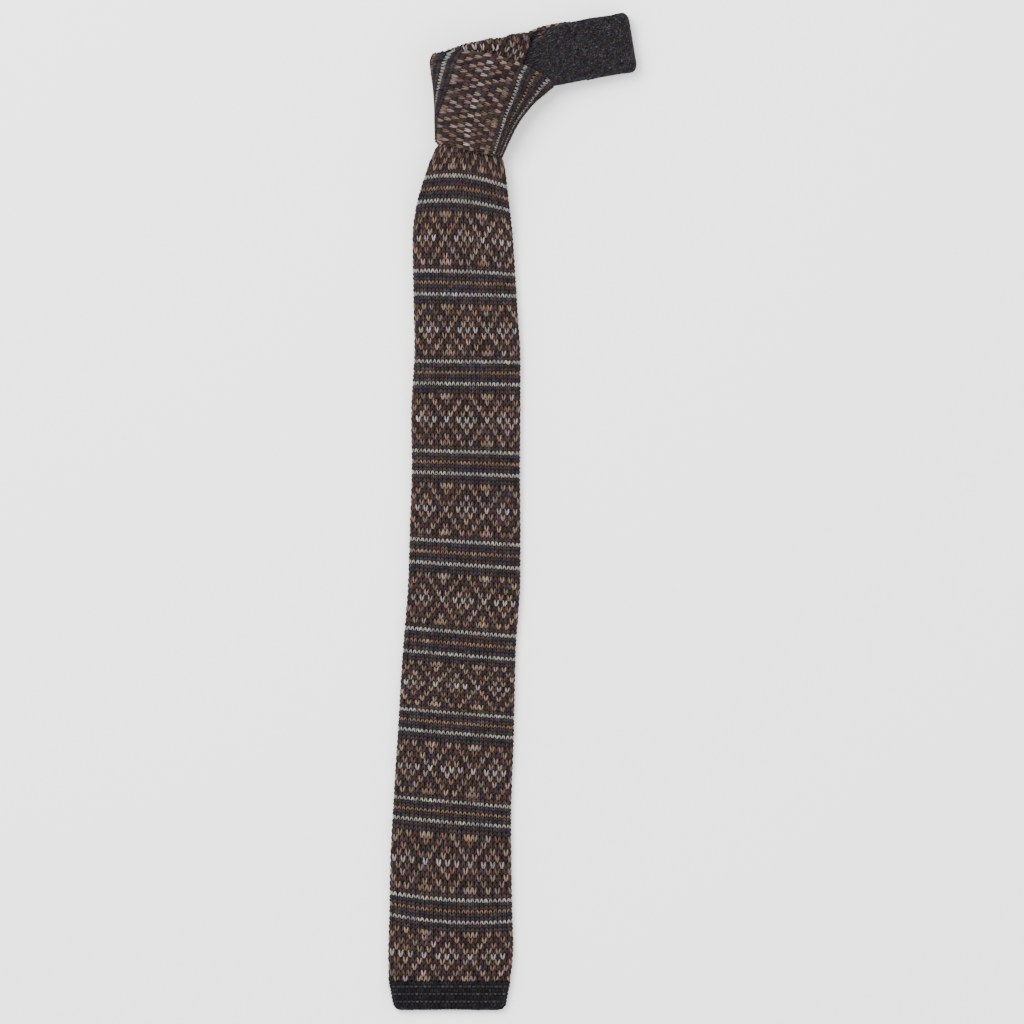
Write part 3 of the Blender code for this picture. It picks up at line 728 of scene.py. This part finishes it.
# How far round it each place of the wrap lies, from its left side, by its height: the turns
# run once round from the middle of its back, and pass its left side after a quarter. A look
# into the table stops just short of its last row and step, where the next one still exists.
WAY_ROWS, WAY_STEPS = 33, 600
ALMOST_LAST, ALMOST_ALL = WAY_ROWS - 1.001, 0.99999
way_ups, way_turns = np.linspace(0, 1, WAY_ROWS), np.linspace(1.5, -0.5, WAY_STEPS + 1)
rounds = wrap_point(*np.meshgrid(way_turns, way_ups))
way_table = np.cumsum(np.linalg.norm(np.diff(rounds, axis=1, prepend=rounds[:, :1]), axis=-1), 1)
way_table -= way_table[:, [WAY_STEPS // 4]]
way_shares = np.linspace(0, 1, WAY_STEPS + 1)
turn_table = np.stack([
    np.interp(row[0] + way_shares * (row[-1] - row[0]), row, way_turns) for row in way_table
])


def wrap_turn(way, up):
    """Where round the wrap a distance from its left side over its front leads, by height."""
    first = np.interp(up, way_ups, way_table[:, 0])
    share = (way - first) / (np.interp(up, way_ups, way_table[:, -1]) - first)
    row = np.clip(up * (WAY_ROWS - 1), 0, ALMOST_LAST)
    column = np.clip(share, 0, ALMOST_ALL) * WAY_STEPS
    r, c = row.astype(int), column.astype(int)
    down, over = row - r, column - c
    near = turn_table[r, c] * (1 - over) + turn_table[r, c + 1] * over
    far = turn_table[r + 1, c] * (1 - over) + turn_table[r + 1, c + 1] * over
    return near * (1 - down) + far * down


# How far up and down from a point of the wrap its upward direction is measured
UP_STEP = 0.01


def wrap_knit(wale, course):
    """A point of the wrap's outer face, which rolls in round its rims beyond its edge wales."""
    wale, course = np.broadcast_arrays(wale, course)
    up = wale / WRAP_WALES
    edge = WRAP_WALL / 2 / KNOT_LENGTH
    inner = np.clip(up, edge, 1 - edge)
    rows = [(way_table[:, 0], WRAP_COURSES[0])]
    for name, at in zip(StripeRow._fields[1:], STRIPE_COURSES):
        rows.append((smooth(WRAP_STRIPES, name, way_ups), at))
    rows += [(way_table[:, -1], WRAP_COURSES[1])]
    stripes = np.stack([ways for ways, _ in rows])
    lengths = course_length(np.array([at for _, at in rows]))
    spot = np.clip(course_length(course), lengths[0], lengths[-1])
    band = np.clip(np.searchsorted(lengths, spot, side="right") - 1, 0, len(rows) - 2)
    share = (spot - lengths[band]) / (lengths[band + 1] - lengths[band])
    place = np.clip(inner * (WAY_ROWS - 1), 0, ALMOST_LAST)
    low = place.astype(int)
    part = place - low
    before = stripes[band, low] * (1 - part) + stripes[band, low + 1] * part
    after = stripes[band + 1, low] * (1 - part) + stripes[band + 1, low + 1] * part
    way = before * (1 - share) + after * share
    turn = wrap_turn(way, inner)
    roll = (up - inner) / edge * pi / 2
    depth = WRAP_WALL / 2 * (1 - np.cos(roll))
    point = wrap_point(turn, inner, depth)
    upward = wrap_point(turn, inner + UP_STEP, depth) - wrap_point(turn, inner - UP_STEP, depth)
    return point + unit(upward) * (WRAP_WALL / 2 * np.sin(roll))[..., None]


def ring_of_wrap(count_turn, count_face, sunk):
    """The wrap's whole ring as a grid: round its section by rows, round the knot by columns."""
    edge, bends = WRAP_WALL / 2 / KNOT_LENGTH, 5
    roll = np.linspace(-pi / 2, pi / 2, bends)
    face = np.linspace(edge, 1 - edge, count_face)
    ups = np.concatenate([face, np.full(bends, 1 - edge), face[::-1], np.full(bends, edge)])
    rolls = np.concatenate([
        np.zeros(count_face), roll + pi / 2, np.full(count_face, pi), roll + 3 * pi / 2,
    ])
    depths = WRAP_WALL / 2 * (1 - np.cos(rolls)) + sunk * np.cos(rolls)
    over = (WRAP_WALL / 2 - sunk) * np.sin(rolls)
    turn, up = np.meshgrid(np.arange(count_turn) * 2 / count_turn, ups)
    point = wrap_point(turn, up, np.broadcast_to(depths[:, None], turn.shape))
    above, below = np.minimum(up + UP_STEP, 1), np.maximum(up - UP_STEP, 0)
    upward = wrap_point(turn, above) - wrap_point(turn, below)
    return point + unit(upward) * over[:, None, None]


# The wrap's floats, painted near black as painted shade under its stitches
wrap_floats = skin("wrap_floats", ring_of_wrap(160, 24, WRAP_SUNK)[:, ::-1], closed_rows=True)
paint(wrap_floats, np.tile(FLOAT_PAINTED_SHADE, (len(wrap_floats.data.vertices), 1)))
dress(wrap_floats, shadow_wool, "knot_wrap")
wales, courses = stitches(*WRAP_COURSES, -2, WRAP_WALES + 2)
colours, plump = charted(wales, courses, rng, lone=1)
in_line = plump == LINE_PLUMP
# The wrap's stitches are painted darker, as painted shade
wrap_stitches = stitch_legs(
    "wrap_stitches", wrap_knit, wales, courses, colours * WRAP_PAINTED_SHADE,
    np.where(in_line, plump, plump * WRAP_PLUMP), 31, sunk=-0.0001,
    spread=np.where(in_line, LEG_SPREAD, WRAP_SPREAD), foot=WRAP_FOOT)
wrap_fuzz = fuzz("wrap_fuzz", wrap_knit, wales, courses, colours, 3000, 32)
dress(wrap_stitches, knitted, None)
dress(wrap_fuzz, knitted, None)


# The crown: the same strip where it comes up from behind the knot, folds over its top and
# dives down under the wrap, to come out below as the blade. Its V's point down.
CROWN_WALL, CROWN_TILT, CROWN_RISE, CROWN_TUCK = 0.0032, radians(13.5), 0.0178, 0.78
CROWN_FRONT_LEVEL, CROWN_BACK_LEVEL = 0.0156, 0.0086
# The last number paints the crown's stitches darker than the blade's: painted shade on the same yarn
CROWN_WIDTH, CROWN_SUNK, CROWN_PAINTED_SHADE = 0.0405, 0.0003, 0.80

# The wales of its front and all its wales round, its courses, and the middle of its light one
CROWN_WALES, CROWN_ROUND = (-7.7, 13.9), (-9, 33)
CROWN_COURSES, CROWN_LIGHT = (4, 17), 13.5

CrownRow = namedtuple("CrownRow", "across round rise lean pinch")
CROWN_SHAPE = (
    CrownRow(0.00, 0.862, 0.16, 1.00, 0.30),
    CrownRow(0.12, 0.780, 0.17, 1.00, 0.10),
    CrownRow(0.38, 0.600, 0.33, 1.00, 0.00),
    CrownRow(0.53, 0.510, 0.49, 0.95, 0.00),
    CrownRow(0.68, 0.430, 0.73, 0.70, 0.00),
    CrownRow(0.84, 0.365, 0.90, 0.35, 0.00),
    CrownRow(1.00, 0.305, 1.00, 0.00, 0.00),
)

# Across the crown: wale, its place across, and how far below the fold its light course is
CrownWale = namedtuple("CrownWale", "wale across light")
CROWN_FAN = (
    CrownWale(-7.7, 0.000, 0.0010),
    CrownWale(0.5, 0.385, 0.0034),
    CrownWale(2.5, 0.455, 0.0043),
    CrownWale(5.5, 0.545, 0.0055),
    CrownWale(8.5, 0.635, 0.0071),
    CrownWale(10.5, 0.755, 0.0096),
    CrownWale(12.5, 0.895, 0.0117),
    CrownWale(13.9, 1.000, 0.0130),
)


def crown_layer(u, down):
    """The crown's middle layer, across it by u and down its front from its crest."""
    depth = WRAP_WALL + CLEARANCE + CROWN_WALL / 2
    turn = smooth(CROWN_SHAPE, "round", u)
    tilt = smooth(CROWN_SHAPE, "lean", u) * CROWN_TILT
    upward = np.stack([-np.sin(tilt), np.cos(tilt), 0 * tilt], -1)
    rim = wrap_point(turn, np.ones_like(turn), depth)
    low = wrap_point(turn, np.full_like(turn, CROWN_TUCK), depth)
    front = np.minimum(rim[..., 2], CROWN_FRONT_LEVEL)
    low[..., 2] = np.minimum(low[..., 2], CROWN_FRONT_LEVEL)
    back = CROWN_BACK_LEVEL + smooth(CROWN_SHAPE, "pinch", u) * (front - CROWN_BACK_LEVEL)
    radius = (front - back) / 2
    reach = smooth(CROWN_SHAPE, "rise", u) * CROWN_RISE - CROWN_WALL / 2 - radius
    top = rim + upward * reach[..., None]
    top[..., 2] = front
    angle = np.clip(pi / 2 - down / radius, 0, pi)
    spot = rim + upward * (reach + radius * np.sin(angle))[..., None]
    spot[..., 2] = front - radius + radius * np.cos(angle)
    before = np.maximum(down - radius * pi / 2, 0)
    after = np.maximum(-down - radius * pi / 2, 0)
    return spot + unit(low - top) * before[..., None] - upward * after[..., None]


def strip_face(layer, wale, way, wales, width, thickness):
    """A point of a flat strip's outer face: wales from its left to its right edge on its
    front, and on round its edges to its back."""
    first, last = wales
    span = last - first
    round_way = 2 * (width - thickness) + pi * thickness
    turn = (wale - (first + last) / 2) / span * (width - thickness + pi * thickness / 2) / round_way
    side, lift = pressed(turn, width, thickness)
    u = 0.5 + side / width
    return layer(u, way) + facing(layer, u, way, 1e-4) * lift[..., None]


def crown_fan(u, down):
    """The crown's middle layer with its wales fanned out, as CROWN_FAN places them."""
    wales = CROWN_WALES[0] + u * (CROWN_WALES[1] - CROWN_WALES[0])
    across = np.interp(wales, [row.wale for row in CROWN_FAN], [row.across for row in CROWN_FAN])
    return crown_layer(across, down)


def crown_knit(wale, course):
    """A point of the crown's outer face, whose courses lie as far down it as their knitted
    length takes them from the light one."""
    wale, course = np.broadcast_arrays(wale, course)
    front = np.clip(wale, *CROWN_WALES)
    light = np.interp(front, [row.wale for row in CROWN_FAN], [row.light for row in CROWN_FAN])
    down = light + course_length(course) - course_length(CROWN_LIGHT)
    return strip_face(crown_fan, wale, down, CROWN_WALES, CROWN_WIDTH, CROWN_WALL)


crown_floats = backing("crown_floats", crown_knit, np.arange(*CROWN_ROUND) + 1.0,
                       np.arange(CROWN_COURSES[0], CROWN_COURSES[1] + 0.1, 0.5), CROWN_SUNK,
                       "knot_crown")
wales, courses = stitches(*CROWN_COURSES, *CROWN_ROUND)
colours, plump = charted(wales, courses, rng, lone=5)
# The crown's stitches are painted darker, as painted shade
crown_stitches = stitch_legs("crown_stitches", crown_knit, wales, courses, colours * CROWN_PAINTED_SHADE,
                             plump, 41)
crown_fuzz = fuzz("crown_fuzz", crown_knit, wales, courses, colours, 900, 43)
dress(crown_stitches, knitted, None)
dress(crown_fuzz, knitted, None)


# The neck strips: the loop that goes round the neck. Its front strand is plain charcoal and
# milled to a felt, folds at the right and runs back; behind it the patterned strand returns.
NECK_REACH, NECK_WIDTH, NECK_WALL = 0.0490, 0.0286, 0.0032
NECK_TILT, NECK_SEAT, NECK_RAISE = radians(9.5), 0.81, 0.0097
NECK_CORNER, LOOP_OPENING, RETURN_LENGTH = 0.0040, 0.0050, 0.0240
NECK_LEVEL, RETURN_LEVEL = 0.0121, 0.0051
NECK_FOLD = (14 / 26, 20 / 26)

NeckRow = namedtuple("NeckRow", "out above below level")
NECK_SHAPE = (
    NeckRow(-0.66, 0.13, 0.30, 1.00),
    NeckRow(-0.30, 0.17, 0.34, 1.00),
    NeckRow(-0.03, 0.23, 0.37, 1.00),
    NeckRow(0.07, 0.30, 0.50, 0.96),
    NeckRow(0.15, 0.34, 0.530, 0.86),
    NeckRow(0.21, 0.42, 0.535, 0.74),
    NeckRow(0.27, 0.46, 0.53, 0.60),
    NeckRow(0.40, 0.475, 0.525, 0.36),
    NeckRow(0.60, 0.50, 0.505, 0.12),
    NeckRow(0.80, 0.49, 0.50, 0.00),
    NeckRow(1.00, 0.49, 0.49, 0.00),
)
RETURN_SHAPE = (
    NeckRow(-0.58, 0.10, 0.24, 1.00),
    NeckRow(-0.30, 0.20, 0.30, 1.00),
    NeckRow(-0.03, 0.43, 0.33, 1.00),
    NeckRow(0.08, 0.49, 0.36, 1.00),
    NeckRow(0.17, 0.51, 0.39, 1.00),
    NeckRow(0.27, 0.52, 0.46, 0.66),
    NeckRow(0.38, 0.52, 0.50, 0.14),
    NeckRow(0.49, 0.50, 0.50, 0.00),
)


def neck_point(out, side, z):
    """A point of the neck loop: out along it from the knot's rim, side from its middle line."""
    left, right = wrap_point(np.array([1.0, 0.0]), np.ones(2))[:, :2]
    along = np.array([cos(NECK_TILT), sin(NECK_TILT)])
    beside = np.array([-along[1], along[0]])
    seat = left + (right - left) * NECK_SEAT + np.array([0.0, NECK_RAISE])
    spot = seat + along * out[..., None] + beside * side[..., None]
    return np.concatenate([spot, z[..., None]], -1)


def strip_side(table, u, share):
    """How far from the strip's middle line u lies, at a share of NECK_REACH out."""
    below = smooth(table, "below", share) * NECK_WIDTH
    return -below + (smooth(table, "above", share) * NECK_WIDTH + below) * u


def neck_layer(u, v):
    """The neck strip's middle layer: out of the knot, round the fold and back underneath."""
    u, v = np.broadcast_arrays(u, v)
    radius = (LOOP_OPENING + NECK_WALL) / 2
    front = NECK_WALL * 3 / 2 + LOOP_OPENING
    past = np.abs(strip_side(NECK_SHAPE, u, 1.0)) - (NECK_WIDTH / 2 - NECK_CORNER)
    past = np.clip(past, 0, NECK_CORNER)
    turn_at = NECK_REACH - radius - NECK_WALL / 2 - NECK_CORNER + np.sqrt(NECK_CORNER ** 2 - past ** 2)
    first = NECK_SHAPE[0].out
    share = first + (turn_at / NECK_REACH - first) * np.clip(v / NECK_FOLD[0], None, 1)
    fold = pi * np.clip((v - NECK_FOLD[0]) / (NECK_FOLD[1] - NECK_FOLD[0]), 0, 1)
    back = np.clip((v - NECK_FOLD[1]) / (1 - NECK_FOLD[1]), 0, None)
    out = share * NECK_REACH + radius * np.sin(fold) + (RETURN_LENGTH - turn_at) * back
    z = front + smooth(NECK_SHAPE, "level", share) * (NECK_LEVEL - front) - radius * (1 - np.cos(fold))
    at = np.where(back > 0, out / NECK_REACH, share)
    return neck_point(out, strip_side(NECK_SHAPE, u, at), z)


def return_layer(u, v):
    """The return strip's middle layer: from inside the knot down to the neck strip's end."""
    u, v = np.broadcast_arrays(u, v)
    first = RETURN_SHAPE[0].out
    share = first + ((RETURN_LENGTH - CLEARANCE) / NECK_REACH - first) * v
    z = NECK_WALL / 2 + smooth(RETURN_SHAPE, "level", share) * (RETURN_LEVEL - NECK_WALL / 2)
    return neck_point(share * NECK_REACH, strip_side(RETURN_SHAPE, u, share), z)


# Felt: its colour and how far its fibres stray from it, how high its relief stands, how much
# of that its stitches and its matted fibres make, how wide and tall its stitches are, and the
# bumps of its matted fibres as waves: how many, and how many radians they turn in a metre
FELT_COLOUR, FELT_GRAIN = linear("161416"), 0.65
FELT_RELIEF, FELT_STITCHED, FELT_MATTED = 0.00006, 0.5, 0.7
FELT_WALE, FELT_COURSE = 0.0019, 0.0024
FELT_WAVES, FELT_TURNS = 24, (1200, 4200)


def felted(name, layer, width, thickness, rows, columns, node, seed):
    """A milled strip as one closed skin with thick rounded edges, on whose faces the knitting
    only just shows. Its relief is a wave for each wale and course, which neighbouring wales
    shift by half a course, and a sum of small waves that run all ways."""
    rng = np.random.default_rng(seed)
    v, turn = np.meshgrid(np.linspace(0, 1, rows), np.arange(columns) / columns, indexing="ij")
    wide = width(v)
    side, lift = pressed(turn, wide, thickness)
    u = 0.5 + side / wide
    points = layer(u, v) + facing(layer, u, v) * lift[..., None]
    around = np.roll(points, -1, 1) - np.roll(points, 1, 1)
    along = np.gradient(points, axis=0)
    out = unit(np.cross(along, around))
    length = np.cumsum(np.linalg.norm(np.diff(points, axis=0, prepend=points[:1]), axis=-1), 0).mean(1)
    stitch = np.cos(2 * pi * side / FELT_WALE)
    stitch = stitch * np.cos(2 * pi * length[:, None] / FELT_COURSE + pi * side / FELT_WALE)
    matted = np.zeros_like(stitch)
    for wave in range(FELT_WAVES):
        heading = rng.normal(0, 1, 3)
        heading *= rng.uniform(*FELT_TURNS) / np.linalg.norm(heading)
        matted += np.sin(points @ heading + rng.uniform(0, 2 * pi)) / FELT_WAVES ** 0.5
    relief = (stitch * FELT_STITCHED + matted * FELT_MATTED) * FELT_RELIEF
    points = points + out * relief[..., None]
    points[..., 2] = np.maximum(points[..., 2], 0)
    piece = skin(name, points)
    grain = np.append(rng.normal(0, FELT_GRAIN, stitch.size), [0, 0])
    paint(piece, FELT_COLOUR * np.exp(grain)[:, None])
    dress(piece, felted_wool, node)
    return piece


# Lambswool milled till its fibres mat: near-black charcoal with fine paler hairs all over.
felted_wool = wool_material("milled charcoal lambswool, felted", 0.85, 1000.0, 0.03, "Object")

# The fibres that stand off the felt: greys that catch the light as short pale specks.
loose_wool = wool_material("loose fibres of milled charcoal lambswool", 0.20, 2400.0, 0.02)

NECK_ROUND_WIDTH = NECK_WIDTH * 0.95
NECK_WALES, NECK_COURSES = 15, 45
FIBRE_GREYS = ("424044", "4c4b4d", "38373a", "323134")
neck_band = felted("neck_band_felt", neck_layer, lambda v: np.full_like(v, NECK_ROUND_WIDTH),
                   NECK_WALL, 260, 150, "neck_band", 51)


def neck_face(wale, course):
    """A point of the neck strip's face, whose wales run along it."""
    return strip_face(neck_layer, wale, np.clip(course / NECK_COURSES, 0, 1), (0.0, NECK_WALES),
                      NECK_ROUND_WIDTH, NECK_WALL)


wales, courses = stitches(1, NECK_COURSES - 1, 0, 2 * NECK_WALES)
neck_fuzz = fuzz("neck_fuzz", neck_face, wales, courses, shaded(FIBRE_GREYS, wales, courses, rng),
                 7000, 52, stand=(0.00003, 0.00015), reaches=(0.2, 0.55))
dress(neck_fuzz, loose_wool, None)


# The return strand: the patterned strip again, where the neck loop comes back behind its
# felted front and goes into the knot. It is knitted like the blade, and its wales run along it.
RETURN_COURSES, RETURN_FIRST, RETURN_CHART_WALE = 24, 14, 3
RETURN_WALES, RETURN_ROUND, RETURN_ROUND_WIDTH = 13.0, 28, NECK_WIDTH * 0.8
RETURN_SUNK = 0.0006


def return_knit(wale, course):
    """A point of the return strip's outer face, whose wales run along it."""
    wale, course = np.broadcast_arrays(wale, course)
    return strip_face(return_layer, wale, course / RETURN_COURSES, (0.0, RETURN_WALES),
                      RETURN_ROUND_WIDTH, NECK_WALL)


return_floats = backing("return_floats", return_knit, np.arange(0.0, RETURN_ROUND),
                        np.arange(0.0, RETURN_COURSES + 0.1, 0.5), RETURN_SUNK,
                        "neck_return")
wales, courses = stitches(0, RETURN_COURSES, 0, RETURN_ROUND)
return_stitches = stitch_legs("return_stitches", return_knit, wales, courses,
                              *charted(wales, courses + RETURN_FIRST, rng, RETURN_CHART_WALE), 42)
dress(return_stitches, knitted, None)


# The end band: the blade's last courses, knitted in plain charcoal and cast off, which close
# the tube's tip. It tapers a little and its corners are round.
END_BAND_LENGTH, END_BAND_WIDTH, END_CORNER = 0.0141, 0.0578, 0.0035
END_COURSE, END_COURSES = 0.00180, 8

# It starts thinner than the blade by END_PINCH over its first millimetre, laps over the
# blade's last course by END_LAP of its length, and its purl ridges lie at these courses. Its
# stitches start END_EARLY of a course early, and its hairs are paler than its yarn.
END_START, END_PINCH, END_LAP = 0.0010, 0.3, 0.05
END_EARLY, END_HAIRS, END_SUNK = 0.2, 1.6, 0.0006
RIDGES = (1.35, 3.4, 5.5)


def end_layer(u, v):
    """The end band's middle layer: its sides draw in evenly, and its corners are quarter
    circles."""
    half = blade_width(np.array(1.0)) / 2
    half = half + (END_BAND_WIDTH / 2 - half) * ease(v) - (BLADE_WIDTH - END_BAND_WIDTH) * v
    short = np.clip(END_CORNER - END_BAND_LENGTH * (1 - v), 0, END_CORNER)
    corner = END_CORNER - np.sqrt(END_CORNER ** 2 - short ** 2)
    y = MOUTH[1] - BLADE_LENGTH - CLEARANCE - (END_BAND_LENGTH - CLEARANCE) * v
    x = blade_middle(np.array(1.0)) + (2 * u - 1) * (half - corner)
    return np.stack(np.broadcast_arrays(x, y, BLADE_THICKNESS / 2), -1)


def end_knit(wale, course):
    """A point of the end band's outer face, which closes round its last course."""
    wale, course = np.broadcast_arrays(wale, course)
    v = course * END_COURSE / END_BAND_LENGTH
    fold = BLADE_THICKNESS / 2
    to_end = np.minimum(END_BAND_LENGTH * (1 - np.clip(v, 0, 1)), fold)
    from_start = np.clip(END_BAND_LENGTH * v + END_START, 0, fold / 2)
    thickness = 2 * np.sqrt(np.maximum(fold ** 2 - (fold - to_end) ** 2, 1e-10))
    thickness *= np.sqrt(1 - (1 - from_start / (fold / 2)) ** 2 * END_PINCH)
    layer_v = np.clip(v, -END_LAP, 1)
    width = 2 * (end_layer(np.array(1.0), layer_v)[..., 0] - blade_middle(np.array(1.0)))
    side, lift = pressed(wale / BLADE_WALES, width, thickness)
    point = end_layer(0.5 + side / width, layer_v)
    point[..., 2] += lift
    return point


# Its floats reach up to the blade's, and their rows stand closer where its tip turns round
end_rows = np.append(np.arange(-0.14, 6.5, 0.5),
                     np.linspace(6.6, END_BAND_LENGTH / END_COURSE - 0.02, 8))
end_floats = backing("end_floats", end_knit, ALL_ROUND, end_rows, END_SUNK, "end_band")

# The blade's yarn in near-black greys: flat and dark, with a faint mottle and no streaks.
charcoal = wool_material("two-ply charcoal lambswool, plain knitting", 0.40, 1900.0, 0.02)
wales, courses = stitches(0, END_COURSES, -BLADE_WALES // 2, BLADE_WALES // 2)
colours = shaded(CHARCOAL_YARN, wales, courses, rng, 0.10)
end_pieces = [
    stitch_legs("end_stitches", end_knit, wales, courses - END_EARLY, colours,
                np.ones(len(wales)), 61),
    fuzz("end_fuzz", end_knit, wales, courses, colours * END_HAIRS, 1200, 62),
]


# A purl bump: what it leaves free of its wale at each side, and how far it bows along it, in
# courses; its sizes from end to end and how they vary, and its half width and depth, in wales;
# and how deep its ends sink and how far its middle stands out
BUMP_FREE, BUMP_BOW = 0.02, 0.12
BUMP_SIZES, BUMP_VARIES = (0.3, 0.85, 1.0, 0.85, 0.3), (0.75, 1.3)
BUMP_HALF_WIDTH, BUMP_HALF_DEPTH = 0.27, 0.24
BUMP_SINKS, BUMP_STANDS = 0.0002, 0.00005


def purl_bumps(name, knit, wales, courses, colours):
    """One small bar for each stitch of a purled course, which lies across its wale, bows up
    in the middle and sinks in at its ends."""
    ways = np.linspace(0, 1, len(BUMP_SIZES))
    wale = wales[:, None] + BUMP_FREE + (1 - 2 * BUMP_FREE) * ways
    course = courses[:, None] - BUMP_BOW * np.sin(pi * ways)
    pitch, out = lie(knit, wale, course)
    size = pitch * np.array(BUMP_SIZES) * rng.uniform(*BUMP_VARIES, (len(wales), 1))
    lift = (np.sin(pi * ways) - 1) * BUMP_SINKS + BUMP_STANDS
    return strands(name, knit(wale, course) + out * lift[:, None], out, size * BUMP_HALF_WIDTH,
                   size * BUMP_HALF_DEPTH, LEG_SIDES, colours, np.ones((3, LEG_SIDES)))


# The ridges are painted lighter than the band's other stitches, as painted highlight
wales, courses = stitches(0, len(RIDGES), -BLADE_WALES // 2, BLADE_WALES // 2)
end_pieces.append(purl_bumps("end_ridges", end_knit, wales, np.array(RIDGES)[courses],
                             shaded(RIDGE_LIT_CHARCOAL, wales, courses, rng, 0.20)))
for piece in end_pieces:
    dress(piece, charcoal, None)


# The tail: the narrow end of the strip, a plain charcoal tube milled to a felt like the neck
# strand. It comes out of the knot under the blade and lies loose on the floor.
TailRow = namedtuple("TailRow", "down spread lift")
TAIL_SHAPE = (
    TailRow(-0.050, 0.00, 1.00),
    TailRow(0.000, 0.00, 1.00),
    TailRow(0.020, 0.10, 0.90),
    TailRow(0.045, 0.34, 0.62),
    TailRow(0.080, 0.62, 0.26),
    TailRow(0.120, 0.85, 0.06),
    TailRow(0.180, 1.00, 0.00),
    TailRow(0.600, 1.00, 0.00),
    TailRow(1.000, 0.94, 0.00),
)
TAIL_LIFT, TAIL_INSIDE = 0.0035, 0.85


def tail_width(v):
    """The tail's width: what fits inside the throat, and a share of all that it widens by."""
    down = TAIL_SHAPE[0].down + (1 - TAIL_SHAPE[0].down) * v
    inside = TAIL_INSIDE * THROAT_WIDTH
    return inside + smooth(TAIL_SHAPE, "spread", down) * (TAIL_WIDTH - inside)


def tail_layer(u, v):
    """The tail's middle layer, which leaves the knot under the blade and lies on the floor."""
    u, v = np.broadcast_arrays(u, v)
    down = TAIL_SHAPE[0].down + (1 - TAIL_SHAPE[0].down) * v
    x = blade_middle(down * TAIL_LENGTH / BLADE_LENGTH) + (u - 0.5) * tail_width(v)
    z = TAIL_THICKNESS / 2 + smooth(TAIL_SHAPE, "lift", down) * TAIL_LIFT
    return np.stack([x, MOUTH[1] - down * TAIL_LENGTH, z], -1)


tail_felt = felted("tail_felt", tail_layer, tail_width, TAIL_THICKNESS, 200, 48, "tail", 71)
